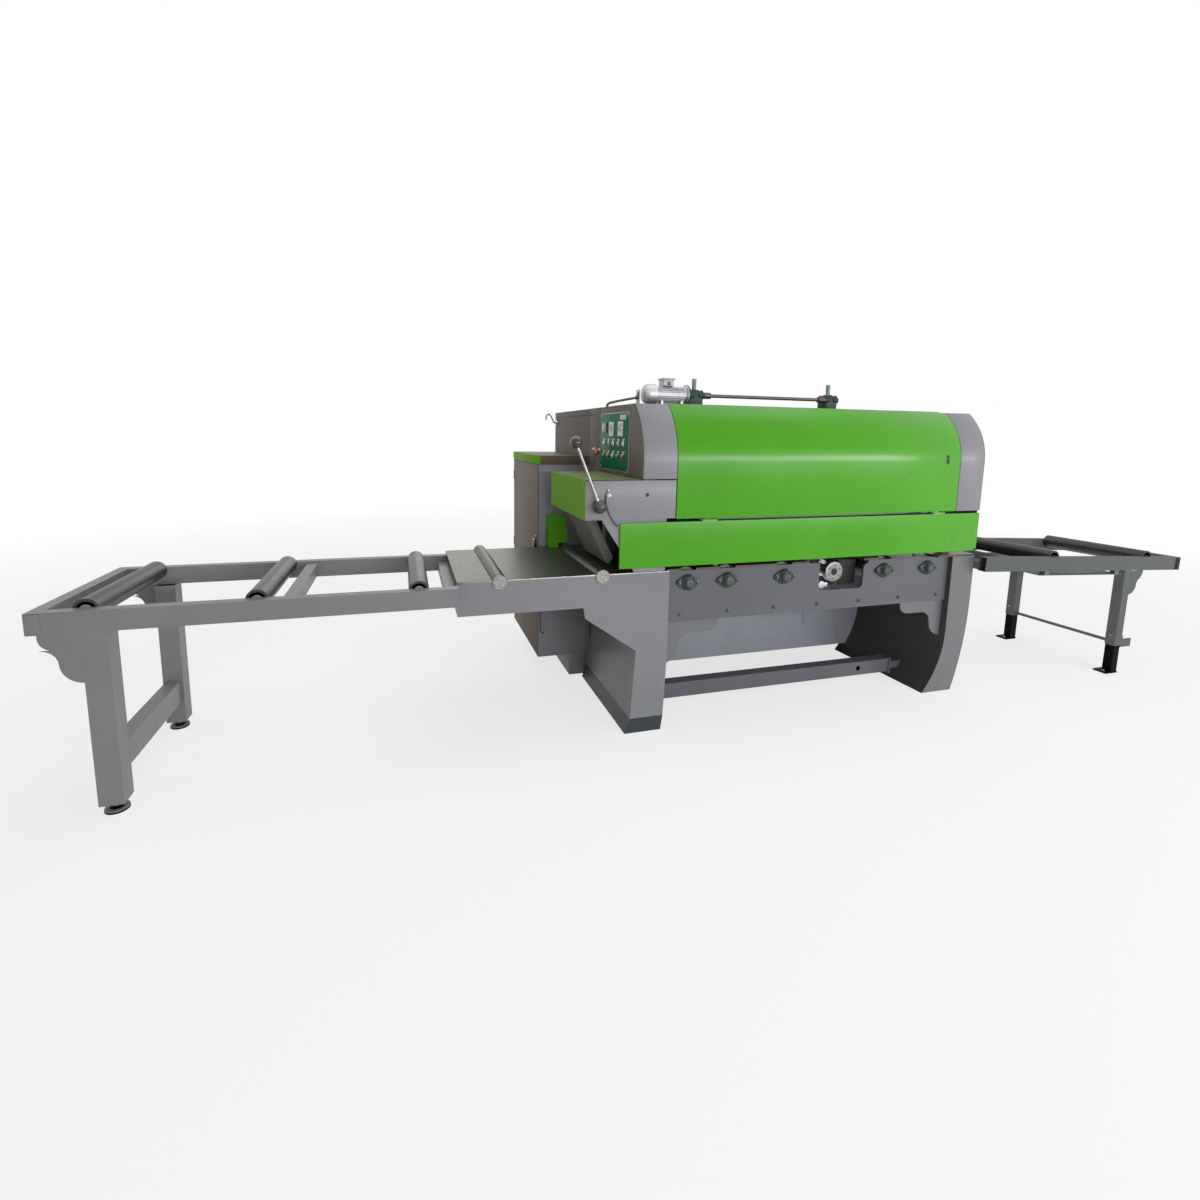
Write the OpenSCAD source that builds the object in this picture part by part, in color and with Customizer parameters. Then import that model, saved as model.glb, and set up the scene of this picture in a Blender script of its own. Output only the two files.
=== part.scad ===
/* [Feed plane and bed] */
// Height of the feed plane above the floor
table_h = 850; // [780:1:920]
// Length of the bed between the two pedestals
bed_l = 1838; // [1780:1:1950]
// Width of the bed and of the tables in line with it
bed_w = 775; // [740:1:900]
// Thickness of the plates that the rollers turn in
bearing_plate_t = 14; // [10:0.5:20]
// Height of the bearing plates
bearing_plate_h = 282; // [250:1:320]
// How far the bearing plates lie behind the frame's faces
plate_recess = 30; // [24:1:40]
// Thickness of the table plates
table_plate_t = 10; // [6:0.5:14]
// Height of the apron's lower edge above the floor
apron_z = 62; // [40:1:120]
// Length of an ogee corner bracket
bracket_l = 314; // [280:1:380]
// Height of an ogee corner bracket
bracket_h = 226; // [200:1:280]
// Thickness of a corner bracket
bracket_t = 8; // [5:0.5:12]

/* [Pedestals] */
// Thickness of the pedestals' profiled face plates
face_t = 10; // [6:0.5:14]
// Thickness of the pedestals' side sheets
side_t = 6; // [4:0.5:10]
// Width of the infeed pedestal under its wing
infeed_ped_w = 172; // [150:1:200]
// Height at which the infeed wing meets the pedestal
wing_z = 442; // [400:1:500]
// How far the infeed foot leans out
foot_lean = 23; // [10:1:40]
// How far the infeed foot flares out at its plinth
foot_flare = 28; // [10:1:40]
// Height of the plinth band
plinth_h = 80; // [60:1:110]
// Width of the outfeed pedestal at the top
outfeed_ped_w = 165; // [150:1:200]
// Width of the outfeed foot
outfeed_foot_w = 220; // [180:1:240]
// How far the outfeed foot sweeps inwards
sweep = 138; // [80:1:160]
// Height where the sweep of the inner edge starts
sweep_z_in = 385; // [330:1:450]
// Height where the sweep of the outer edge starts
sweep_z_out = 560; // [500:1:640]
// Radius of an anchor bolt hole
anchor_r = 9; // [6:0.5:12]
// Distance of the anchor holes from the frame's faces
anchor_inset = 90; // [60:1:140]

/* [Tie beam] */
// Distance of the beam's front face from the frame's face
tie_y = 232; // [150:1:400]
// Height of the beam's underside above the floor
tie_z = 52; // [40:1:90]
// Height of the beam
tie_h = 86; // [60:1:110]
// Depth of the beam
tie_d = 74; // [50:1:100]
// Length of the thinner stub at the outfeed end
tie_stub_l = 80; // [60:1:110]
// Thickness of the collar between beam and stub
tie_collar_t = 12; // [8:1:20]

/* [Feed rollers] */
// Diameter of a feed roller
feed_d = 150; // [130:1:160]
// How far a feed roller stands above the table plates
feed_lift = 1.5; // [0.5:0.5:4]
// Place of the first feed roller along the bed
feed_1_x = 117; // [105:1:125]
// Place of the second feed roller
feed_2_x = 348; // [330:1:370]
// Place of the third feed roller
feed_3_x = 696; // [660:1:715]
// Place of the fourth feed roller
feed_4_x = 1364; // [1345:1:1390]
// Place of the fifth feed roller
feed_5_x = 1678; // [1650:1:1700]
// Diameter of a feed roller's journal
journal_d = 35; // [30:1:40]
// Running clearance of a shaft in its bore
run_gap = 0.05; // [0.02:0.01:0.09]
// Diameter of a roller's chain wheel
sprocket_d = 92; // [80:1:110]
// Width and height of the feed's gearbox
gearbox_w = 150; // [130:1:154]
// Diameter of the feed motor below the gearbox
feed_motor_d = 140; // [110:1:150]
// Length of the feed motor
feed_motor_l = 265; // [220:1:300]

/* [Flange bearings] */
// Half the distance between a flange bearing's two bolts
flange_bolt = 50; // [46:1:56]
// Radius of the flange round its bore
flange_r = 42; // [36:1:46]
// Radius of the flange round a bolt
flange_ear_r = 15; // [12:0.5:18]
// Thickness of the flange
flange_t = 12; // [8:0.5:16]
// Height of the bearing's boss above the plate
boss_h = 30; // [24:1:36]

/* [Saw arbor] */
// Place of the arbor along the bed
arbor_x = 1040; // [1020:1:1060]
// Depth of the arbor's axis below the feed plane
arbor_drop = 72; // [66:1:80]
// Diameter of the arbor
arbor_d = 60; // [50:1:70]
// Diameter of the ring nut at the arbor's front end
ring_nut_d = 114; // [100:1:124]
// Diameter of a saw blade
blade_d = 350; // [320:1:356]
// Thickness of a saw blade
blade_t = 4; // [3:0.1:5]
// Number of saw blades
blade_n = 8; // [3:1:10]
// Distance from one blade to the next
blade_pitch = 52; // [40:1:54]
// Half the length of the window round the blades
window_half = 182; // [180:1:190]
// Diameter of the arbor's pulley
arbor_pulley_d = 180; // [160:1:200]

/* [Main drive] */
// Height of the main motor's shaft above the floor
motor_z = 330; // [300:1:350]
// Diameter of the main motor
motor_d = 380; // [340:1:400]
// Length of the main motor
motor_l = 470; // [420:1:490]
// Width of the main motor's foot block
motor_foot_w = 330; // [300:1:350]
// Width of the main motor's terminal box
motor_box_w = 160; // [130:1:180]
// Length of that box
motor_box_l = 140; // [110:1:160]
// Height of that box
motor_box_h = 90; // [70:1:100]
// Diameter of the motor's pulley
motor_pulley_d = 220; // [200:1:240]
// Width of both pulleys
pulley_w = 110; // [90:1:120]
// Number of drive belts
belt_n = 5; // [3:1:5]
// Thickness of a drive belt
belt_t = 11; // [8:0.5:14]
// Width of a drive belt
belt_w = 16; // [12:0.5:18]

/* [Upper body] */
// Overhang of the upper body past the bed's infeed end
over_in = 190; // [175:1:215]
// Overhang past the bed's outfeed end
over_out = 72; // [60:1:90]
// Depth of the upper body's front face before the bed
over_front = 78; // [74:1:86]
// Place of the back wall behind the bed's front
body_back = 1660; // [1640:1:1720]
// Height of the body's top
body_top = 1680; // [1660:1:1720]
// Radius of the hood's rounded front
hood_r = 361; // [340:1:380]
// Height where the hood's front starts to curve
curve_z = 1400; // [1380:1:1420]
// Height of the hood's lower edge
hood_z = 1125; // [1123:1:1132]
// Width of an end cowl
cowl_w = 175; // [160:1:190]
// Thickness of the sheet covers
sheet_t = 3; // [2:0.5:4]
// Opening gap round the hood
hood_gap = 3; // [2:0.5:5]
// Size of the frame's square posts
post = 60; // [50:1:66]
// Height of the housing's lower edge above the floor
housing_z = 150; // [130:1:180]
// Diameter of the dust outlet
dust_d = 200; // [160:1:220]
// Length of the dust outlet
dust_l = 70; // [50:1:90]
// Place of the dust outlet along the bed
dust_x = 480; // [400:1:560]
// Height of the dust outlet's axis
dust_z = 430; // [380:1:480]

/* [Front guard] */
// How far the guard reaches past the bed's infeed end
guard_in = 302; // [280:1:320]
// Height of the guard's lower edge
guard_z = 891; // [886:1:910]
// Place of the guard's first hinge along the bed
guard_hinge_1_x = 130; // [60:1:200]
// Place of the guard's second hinge along the bed
guard_hinge_2_x = 1572; // [1500:1:1660]
// Width of a guard hinge
guard_hinge_w = 80; // [60:1:90]
// Height of the guard's upper edge
guard_top = 1112; // [1100:1:1113]
// Depth of the guard's folded edges
guard_fold = 10; // [6:1:10]

/* [Press beam] */
// Largest height of timber that passes under the rollers
timber_h = 110; // [104:1:116]
// Gap left between the rollers when the beam is right down
pinch_gap = 4; // [2:0.5:8]
// Diameter of a pressure roller
press_d = 140; // [120:1:150]
// Distance of the beam's side plates from the frame's faces
beam_inset = 96; // [92:1:104]
// Thickness of the beam's side plates
beam_t = 12; // [8:0.5:16]
// Height of the beam's side plates
beam_h = 200; // [180:1:230]
// Place of the infeed lifting screw along the bed
screw_1_x = 290; // [270:1:310]
// Place of the outfeed lifting screw along the bed
screw_2_x = 1178; // [1160:1:1196]
// Diameter of a lifting screw
screw_d = 24; // [20:1:30]
// Height of a lifting screw above the body's top at rest
screw_up = 162; // [150:1:180]
// Diameter of a guide rod
guide_d = 30; // [24:1:36]

/* [Lifting gear on the top] */
// Height of the lifting shaft above the body's top
lift_z = 70; // [66:1:76]
// Diameter of the lifting shaft
lift_d = 20; // [16:1:24]
// Length of the lifting motor
lift_motor_l = 262; // [240:1:275]
// Diameter of the lifting motor
lift_motor_d = 110; // [90:1:112]
// Width of a jack box along the shaft
jack_w = 76; // [66:1:84]
// Height of a jack box
jack_h = 96; // [88:1:110]

/* [Infeed head] */
// Length of the infeed head before the end wall
head_l = 285; // [270:1:300]
// Depth of the infeed head behind its front face
head_d = 656; // [640:1:670]
// Height of the head's lower edge
head_z = 1130; // [1126:1:1140]
// Height of the head's top
head_top = 1318; // [1310:1:1330]
// Distance of the lever's axis before the bed's infeed end
lever_x = 415; // [400:1:430]
// Height of the lever's axis
lever_z = 1197; // [1185:1:1210]
// Length of the lever from its axis to the knob
lever_l = 318; // [280:1:340]
// Lean of the lever at rest
lever_lean = 22; // [15:1:26]
// Diameter of the lever's shaft
lever_d = 24; // [20:1:28]
// Radius of the lever's hub
hub_r = 32; // [26:1:36]
// Radius of the lever's knob
knob_r = 27; // [22:1:30]
// Number of kickback fingers
finger_n = 16; // [10:1:18]
// Distance from one finger to the next
finger_pitch = 24; // [20:1:25]
// Thickness of a finger
finger_t = 12; // [8:1:16]
// Gap between a finger's tip and the feed plane
finger_gap = 14; // [10:1:20]

/* [Infeed table] */
// Length of the infeed table
infeed_l = 1057; // [1000:1:1100]
// Height of the infeed table's side plates
infeed_h = 164; // [150:1:180]
// Diameter of the infeed table's rollers
infeed_roller_d = 70; // [60:1:74]
// Height of the table rollers above the table
roller_stand = 24; // [1:1:28]
// Place of the first infeed roller before the bed
infeed_1_x = 862; // [840:1:880]
// Place of the second infeed roller before the bed
infeed_2_x = 357; // [340:1:380]

/* [Roller tables] */
// How far the roller tables stand before the bed
table_out = 80; // [60:1:95]
// Width of the infeed roller table
left_w = 810; // [760:1:840]
// Width of the outfeed roller table
right_w = 760; // [720:1:800]
// Length of the infeed roller table
left_l = 1577; // [1500:1:1700]
// Length of the outfeed roller table
right_l = 1720; // [1660:1:1800]
// Fall of the outfeed roller table
right_fall = 2.5; // [0:0.1:3]
// Depth of the rails' top below the feed plane
rail_drop = 9; // [6:1:20]
// Height of a rail
rail_h = 85; // [75:1:95]
// Width of a rail
rail_w = 50; // [40:1:60]
// Wall of the tables' tubes
tube_t = 3; // [2:0.5:4]
// Diameter of a table roller
idle_d = 89; // [80:1:95]
// Diameter of a table roller's axle
axle_d = 16; // [12:1:18]
// Width of a leg of the infeed roller table
left_leg_w = 88; // [70:1:95]
// Place of the infeed legs, from the table's free end
left_leg_in = 169; // [150:1:200]
// Height of the cross tube between the infeed legs
cross_z = 150; // [120:1:200]
// Height of the section of that cross tube
cross_h = 110; // [80:1:120]
// Place of the three rollers, from the free end
left_1_x = 174; // [150:1:230]
// Place of the second roller
left_2_x = 764; // [740:1:800]
// Place of the cross bar beside the second roller
left_bar_x = 884; // [870:1:940]
// Place of the third roller
left_3_x = 1409; // [1380:1:1460]
// Height of a gusset
gusset_h = 198; // [170:1:220]
// Length of a gusset
gusset_l = 134; // [110:1:145]
// Width of an outer leg of the outfeed roller table
right_leg_w = 60; // [54:1:66]
// Place of the outfeed legs, from the table's free end
right_leg_in = 520; // [490:1:540]
// Height where the outer leg ends
right_leg_z = 190; // [170:1:230]
// Place of the end roller, from the free end
right_1_x = 245; // [220:1:280]
// Place of the second roller, from the free end
right_2_x = 1100; // [1050:1:1150]
// Place of the material tray, from the table's near end
tray_in = 460; // [440:1:480]
// Place of the hand hole in the tray, from the table's near end
tray_hole_in = 700; // [680:1:720]
// Length of the hand hole
tray_hole_l = 250; // [220:1:280]
// Place of the hand hole across the table
tray_hole_y = 100; // [80:1:120]
// Width of the hand hole
tray_hole_w = 230; // [200:1:260]
// Length of the sliding part of a leg above its foot plate
leg_l = 520; // [480:1:540]
// Clearance between an outer leg and the leg inside it
leg_gap = 0.3; // [0.2:0.1:0.6]

/* [Electrical cabinet] */
// Width of the cabinet along the feed
cabinet_w = 310; // [280:1:330]
// Depth of the cabinet
cabinet_d = 830; // [780:1:840]
// Height of the cabinet's underside
cabinet_z = 145; // [120:1:180]
// Height of the cabinet's top
cabinet_top = 1345; // [1320:1:1365]
// Place of the door's handle above the cabinet's lower edge
door_handle_z = 635; // [600:1:680]
// Length of the door's handle
door_handle_l = 120; // [90:1:150]
// Height of the cap on the cabinet
cap_h = 52; // [40:1:60]

/* [Control panel] */
// Depth of the panel's near edge behind the bed's front
panel_y = 127; // [120:1:140]
// Width of the panel
panel_w = 438; // [420:1:446]
// Height of the panel's lower edge
panel_z = 1341; // [1338:1:1350]
// Height of the panel
panel_h = 298; // [280:1:300]
// Pitch of the buttons
button_pitch = 77; // [70:1:80]
// Height of the row of buttons
button_z = 1415; // [1405:1:1420]
// Height of the row of lamps
lamp_z = 1480; // [1470:1:1485]
// Travel of a button
button_travel = 4; // [3:0.5:5]

/* [Hidden] */
$fn = 64;
weld = 0.2;
past = 1;

infeed_end_x = -infeed_l - left_l;
outfeed_end_x = bed_l + outfeed_ped_w + weld + right_l * cos(right_fall)
    + rail_h * sin(right_fall);
hub_y = -over_front - 3 - hub_r;
lever_front = hub_y - hub_r;
guard_axis_y = -over_front + 2;
guard_axis_z = guard_top + 6;
guard_pin_r = 2;
mid_x = (infeed_end_x + outfeed_end_x) / 2;
mid_y = (lever_front + body_back + dust_l) / 2;

feed_r = feed_d / 2;
feed_z = table_h + feed_lift - feed_r;
// Places along the bed keep their share of its length
bed_stretch = bed_l / 1838;
function along(x) = x * bed_stretch;
feed_x = [for (x = [feed_1_x, feed_2_x, feed_3_x, feed_4_x, feed_5_x]) along(x)];
saw_x = along(arbor_x);
press_x = [feed_x[1], feed_x[2], feed_x[3], feed_x[4]];
plate_top = table_h - table_plate_t - weld;
plate_bottom = table_h - bearing_plate_h;
front_plate_y = plate_recess;
rear_plate_y = bed_w - plate_recess - bearing_plate_t;
arbor_z = table_h - arbor_drop;
feed_slot = sqrt(feed_r * feed_r - pow(feed_r - feed_lift - table_plate_t, 2)) + 7;

press_r = press_d / 2;
press_z = table_h + timber_h + press_r;
press_travel = timber_h - pinch_gap - feed_lift;
beam_z = press_z - 40;
screw_y = bed_w / 2;
screw_x = [screw_1_x, screw_2_x];

body_in_x = -over_in;
body_out_x = bed_l + over_out;
hood_in_x = body_in_x + cowl_w;
hood_out_x = body_out_x - cowl_w;
hood_y = -over_front;
arc_rise = body_top - curve_z;
top_edge_y = hood_y + hood_r - sqrt(hood_r * hood_r - arc_rise * arc_rise);
lip_y = top_edge_y + 45;
housing_y = bed_w + 10;
hinge_y = lip_y + 3;
knuckle_l = (hood_out_x - hood_in_x - 2 * hood_gap) / 12;

base_y = [bed_w + 265, body_back - 100];
pulley_y = bed_w + 155;
motor_y = pulley_y + pulley_w + 30;
sprocket_y = bed_w + 34;
sprocket_t = 14;

head_x = body_in_x - head_l;
head_back = hood_y + head_d;
infeed_roller_z = table_h + roller_stand - infeed_roller_d / 2;
rail_top = table_h - rail_drop;
rail_z = rail_top - rail_h;
idle_z = table_h + roller_stand - idle_d / 2;
cabinet_x = body_in_x - cabinet_w - 3;
cabinet_y = bed_w + 25;
lift_axis_z = body_top + lift_z;
jack_z = body_top + 12;

// The bed's infeed end, front face and floor lie at zero; the whole is then centred
module centred() translate([-mid_x, -mid_y, 0]) children();

module block(x0, x1, y0, y1, z0, z1)
    translate([x0, y0, z0]) cube([x1 - x0, y1 - y0, z1 - z0]);

module rod_x(y, z, r, x0, x1)
    translate([x0, y, z]) rotate([0, 90, 0]) cylinder(r = r, h = x1 - x0);

module rod_y(x, z, r, y0, y1)
    translate([x, y0, z]) rotate([-90, 0, 0]) cylinder(r = r, h = y1 - y0);

module rod_z(x, y, r, z0, z1)
    translate([x, y, z0]) cylinder(r = r, h = z1 - z0);

// An outline given in x and z, made solid from y0 to y1
module slab_y(y0, y1)
    translate([0, y1, 0]) rotate([90, 0, 0]) linear_extrude(y1 - y0) children();

// An outline given in y and z, made solid from x0 to x1
module slab_x(x0, x1)
    translate([x0, 0, 0]) rotate([90, 0, 90]) linear_extrude(x1 - x0) children();

// A square tube along x, y or z, open at both ends
module tube_x(x0, x1, y0, y1, z0, z1, t) difference() {
    block(x0, x1, y0, y1, z0, z1);
    block(x0 - past, x1 + past, y0 + t, y1 - t, z0 + t, z1 - t);
}

module tube_y(x0, x1, y0, y1, z0, z1, t) difference() {
    block(x0, x1, y0, y1, z0, z1);
    block(x0 + t, x1 - t, y0 - past, y1 + past, z0 + t, z1 - t);
}

module tube_z(x0, x1, y0, y1, z0, z1, t) difference() {
    block(x0, x1, y0, y1, z0, z1);
    block(x0 + t, x1 - t, y0 + t, y1 - t, z0 - past, z1 + past);
}

function arc(c, r, a0, a1, n) =
    [for (i = [0:n]) c + r * [cos(a0 + (a1 - a0) * i / n), sin(a0 + (a1 - a0) * i / n)]];

// Two circles joined by their outer tangents, the second at distance d along x
module link(r1, r2, d) {
    tilt = acos((r1 - r2) / d);
    circle(r = r1);
    translate([d, 0]) circle(r = r2);
    polygon([[r1 * cos(tilt), r1 * sin(tilt)], [d + r2 * cos(tilt), r2 * sin(tilt)],
        [d + r2 * cos(tilt), -r2 * sin(tilt)], [r1 * cos(tilt), -r1 * sin(tilt)]]);
}

// Outline of two circles joined by their outer tangents, as a run of points
function loop_outline(r1, r2, d) = let (tilt = acos((r1 - r2) / d))
    concat(arc([0, 0], r1, tilt, 360 - tilt, 36), arc([d, 0], r2, -tilt, tilt, 28));

// Ogee outline of a corner bracket whose corner is at zero, with a strip above it
module ogee(l, h, up) {
    k = h / 226;
    polygon(concat([[0, up], [-l, up]], arc([-l + 55 * k, -16 * k], 55 * k, 180, 270, 6),
        arc([-150 * k, -136 * k], 65 * k, 90, 0, 6),
        arc([5 * k, -136 * k], 90 * k, 190, 266, 7), [[0, -h]]));
}

// Face of the infeed pedestal with its wing and the side of the infeed table
module infeed_face() {
    low = table_h - infeed_h;
    wing_x = -infeed_ped_w - 279;
    polygon([[0, plate_top], [-infeed_l, plate_top], [-infeed_l, low], [wing_x, low],
        [wing_x + 8, low - 55], [-infeed_ped_w, wing_z], [-infeed_ped_w - foot_lean, plinth_h],
        [-infeed_ped_w - foot_lean - foot_flare, 0], [-foot_lean, 0],
        [-foot_lean * 0.55, plinth_h], [0, 382]]);
}

module infeed_side_sheet(x_top, x_mid, x_low, z_top, z_knee)
    slab_y(face_t + weld, bed_w - face_t - weld)
        polygon([[x_top, z_top], [x_top, z_knee], [x_mid, plinth_h], [x_low, 0],
            [x_low + side_t, 0], [x_mid + side_t, plinth_h], [x_top + side_t, z_knee],
            [x_top + side_t, z_top]]);

module roller_notches(y0, y1)
    for (x = [-infeed_1_x, -infeed_2_x]) {
        rod_y(x, infeed_roller_z, infeed_roller_d / 2 + weld, y0, y1);
        block(x - infeed_roller_d / 2 - weld, x + infeed_roller_d / 2 + weld, y0, y1,
            infeed_roller_z, table_h + past);
    }

module anchor_plate(x0, x1) difference() {
    block(x0, x1, face_t + weld, bed_w - face_t - weld, 0, 12);
    for (y = [anchor_inset, bed_w - anchor_inset])
        rod_z((x0 + x1) / 2, y, anchor_r, -past, 13);
}

module infeed_pedestal() color("slategray") centred() {
    for (y = [0, bed_w - face_t]) difference() {
        slab_y(y, y + face_t) infeed_face();
        roller_notches(y - past, y + face_t + past);
    }
    infeed_side_sheet(-infeed_ped_w, -infeed_ped_w - foot_lean,
        -infeed_ped_w - foot_lean - foot_flare, table_h - infeed_h - weld, wing_z);
    infeed_side_sheet(-side_t, -foot_lean * 0.55 - side_t, -foot_lean - side_t,
        plate_top - weld, 382);
    anchor_plate(-infeed_ped_w - foot_lean - foot_flare + side_t + 6,
        -foot_lean - side_t - weld);
}

// Points of the outfeed pedestal's two swept edges, from the top down
function swept(x, z, in, n) =
    let (r = (z * z + in * in) / (2 * in), a = asin(z / r))
    arc([x - r, z], r, 0, -a, n);
outer_in = outfeed_ped_w + sweep - outfeed_foot_w;
inner_edge = swept(bed_l, sweep_z_in, sweep, 12);
outer_edge = swept(bed_l + outfeed_ped_w, sweep_z_out, outer_in, 12);

function reversed(list) = [for (i = [len(list) - 1:-1:0]) list[i]];
function shifted(list, dx) = [for (p = list) p + [dx, 0]];

module outfeed_face()
    polygon(concat([[bed_l, plate_top]], inner_edge, reversed(outer_edge),
        [[bed_l + outfeed_ped_w, plate_top]]));

module outfeed_side_sheet(edge, x, dx) {
    inner = shifted(edge, dx);
    slab_y(face_t + weld, bed_w - face_t - weld)
        polygon(concat([[x, plate_top - weld]], edge, reversed(inner),
            [[x + dx, plate_top - weld]]));
}

module outfeed_pedestal() color("slategray") centred() {
    for (y = [0, bed_w - face_t])
        slab_y(y, y + face_t) outfeed_face();
    outfeed_side_sheet(inner_edge, bed_l, side_t);
    outfeed_side_sheet(outer_edge, bed_l + outfeed_ped_w, -side_t);
    anchor_plate(bed_l - sweep + side_t + 12, bed_l - sweep + outfeed_foot_w - side_t - 8);
}

module shaft_holes(y0, y1)
    for (x = feed_x)
        rod_y(x, feed_z, journal_d / 2 + 3, y0, y1);

// Window in the front plate through which the arbor is reached
module arbor_window(y0, y1) {
    x0 = saw_x - 115;
    x1 = saw_x + 184;
    z0 = arbor_z - 97;
    slab_y(y0, y1)
        polygon(concat([[x0, table_h], [x0, z0 + 25]], arc([x0 + 25, z0 + 25], 25, 180, 270, 6),
            arc([x1 - 30, z0 + 30], 30, 270, 360, 6), [[x1, table_h - 56]],
            arc([x1 + 30, table_h - 56], 30, 180, 100, 6), [[x1 + 42, table_h]]));
}

module front_bearing_plate() color("lightslategray") centred()
    difference() {
        block(weld, bed_l - weld, front_plate_y, front_plate_y + bearing_plate_t,
            plate_bottom, plate_top);
        shaft_holes(front_plate_y - past, front_plate_y + bearing_plate_t + past);
        arbor_window(front_plate_y - past, front_plate_y + bearing_plate_t + past);
    }

module rear_bearing_plate() color("lightslategray") centred()
    difference() {
        block(weld, bed_l - weld, rear_plate_y, rear_plate_y + bearing_plate_t,
            sweep_z_in, plate_top);
        shaft_holes(rear_plate_y - past, rear_plate_y + bearing_plate_t + past);
        rod_y(saw_x, arbor_z, arbor_d / 2 + 20, rear_plate_y - past,
            rear_plate_y + bearing_plate_t + past);
    }

apron_y = rear_plate_y - 4 - weld;
apron_out_x = bed_l - 110;

module corner_brackets() color("slategray") centred() {
    y = front_plate_y + bearing_plate_t + weld;
    mirror([1, 0, 0]) slab_y(y, y + bracket_t) translate([-weld, plate_bottom])
        ogee(bracket_l, bracket_h, 30);
    difference() {
        slab_y(y, y + bracket_t) translate([bed_l - weld, plate_bottom])
            ogee(bracket_l, bracket_h, 30);
        slab_y(y - past, y + bracket_t + past)
            polygon(concat([for (p = inner_edge) p - [weld, 0]],
                [[bed_l + 9, 0], [bed_l + 9, sweep_z_in]]));
    }
    slab_y(apron_y, apron_y + 4)
        polygon(concat([[2 - foot_lean * 0.55, apron_z], [weld, 382],
            [weld, plate_bottom + 40], [bed_l - weld, plate_bottom + 40]],
            [for (p = inner_edge) if (p[1] > apron_z + 5) p - [weld, 0]],
            [[inner_edge_x(apron_z) - 0.3, apron_z]]));
    slab_y(apron_y - weld - 5, apron_y - weld)
        translate([inner_edge_x(apron_z) - 1, apron_z + bracket_h])
            ogee(bracket_l + 57, bracket_h, 60);
}

function inner_edge_x(z) =
    let (r = (sweep_z_in * sweep_z_in + sweep * sweep) / (2 * sweep))
    bed_l - r + sqrt(r * r - pow(sweep_z_in - z, 2));

module tie_beam() color("gray") centred() {
    x_end = inner_edge_x(tie_z) - tie_stub_l;
    x_start = weld - foot_lean * 0.55 * (382 - tie_z - tie_h) / (382 - plinth_h);
    y1 = tie_y + tie_d;
    z1 = tie_z + tie_h;
    difference() {
        tube_x(x_start, x_end, tie_y, y1, tie_z, z1, 5);
        rod_y(x_end - 230, tie_z + tie_h / 2, 16, tie_y - past, y1 + past);
    }
    block(x_end + weld, x_end + tie_collar_t, tie_y - 8, y1 + 8, tie_z - 8, z1 + 8);
    slab_y(tie_y + 12, y1 - 12)
        polygon([[x_end + tie_collar_t + weld, tie_z + 14],
            [inner_edge_x(tie_z + 14) - 0.3, tie_z + 14],
            [inner_edge_x(z1 - 26) - 2, z1 - 26],
            [x_end + tie_collar_t + weld, z1 - 26]]);
}

module infeed_table() color("rosybrown") centred() {
    slot = infeed_roller_d / 2 + weld;
    stops = [-infeed_l, -infeed_1_x, -infeed_2_x, -weld];
    for (i = [0:2])
        block(stops[i] + (i > 0 ? slot : 0), stops[i + 1] - (i < 2 ? slot : 0),
            0, bed_w, table_h - table_plate_t, table_h);
    block(-infeed_l, -infeed_l + 8, face_t + weld, bed_w - face_t - weld,
        table_h - infeed_h, plate_top);
    for (x = [-infeed_1_x, -infeed_2_x], side = [0, 1]) difference() {
        y = side * (bed_w - face_t);
        rod_y(x, infeed_roller_z, infeed_roller_d / 2, y - 6 * (1 - side),
            y + face_t + 6 * side);
        rod_y(x, infeed_roller_z, axle_d / 2 + run_gap, y - 10, y + face_t + 10);
    }
}

module bed_plates() color("gray") centred() {
    half = [feed_slot, feed_slot, feed_slot, window_half, feed_slot, feed_slot];
    at = [feed_x[0], feed_x[1], feed_x[2], saw_x, feed_x[3], feed_x[4]];
    for (i = [0:6])
        block(i == 0 ? weld : at[i - 1] + half[i - 1],
            i == 6 ? bed_l + outfeed_ped_w : at[i] - half[i],
            i == 6 ? 0 : plate_recess, i == 6 ? bed_w : bed_w - plate_recess,
            table_h - table_plate_t, table_h);
}

// Section of the curved covers, from the lower edge to the lip on the top
module cover_section(z0, t) {
    r = hood_r - t;
    sweep_a = asin(arc_rise / hood_r);
    inner_a = asin((arc_rise - t) / r);
    polygon(concat([[hood_y, z0]], arc([hood_y + hood_r, curve_z], hood_r, 180, 180 - sweep_a, 14),
        [[lip_y, body_top], [lip_y, body_top - t]],
        arc([hood_y + hood_r, curve_z], r, 180 - inner_a, 180, 14), [[hood_y + t, z0]]));
}

// Section filled in behind the curve, for the end walls
module end_front(y1, z0)
    polygon(concat([[hood_y, z0]],
        arc([hood_y + hood_r, curve_z], hood_r, 180, 180 - asin(arc_rise / hood_r), 14),
        [[y1, body_top], [y1, z0]]));

function button_y(i) = panel_y + panel_w / 2 + (i - 3) * button_pitch;
estop_y = panel_y + panel_w + 36;
estop_z = button_z + 11;

module stem_holes(x0, x1) {
    for (i = [1:5])
        rod_x(button_y(i), button_z, 8 + run_gap, x0, x1);
    rod_x(estop_y, estop_z, 10 + run_gap, x0, x1);
}

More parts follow.
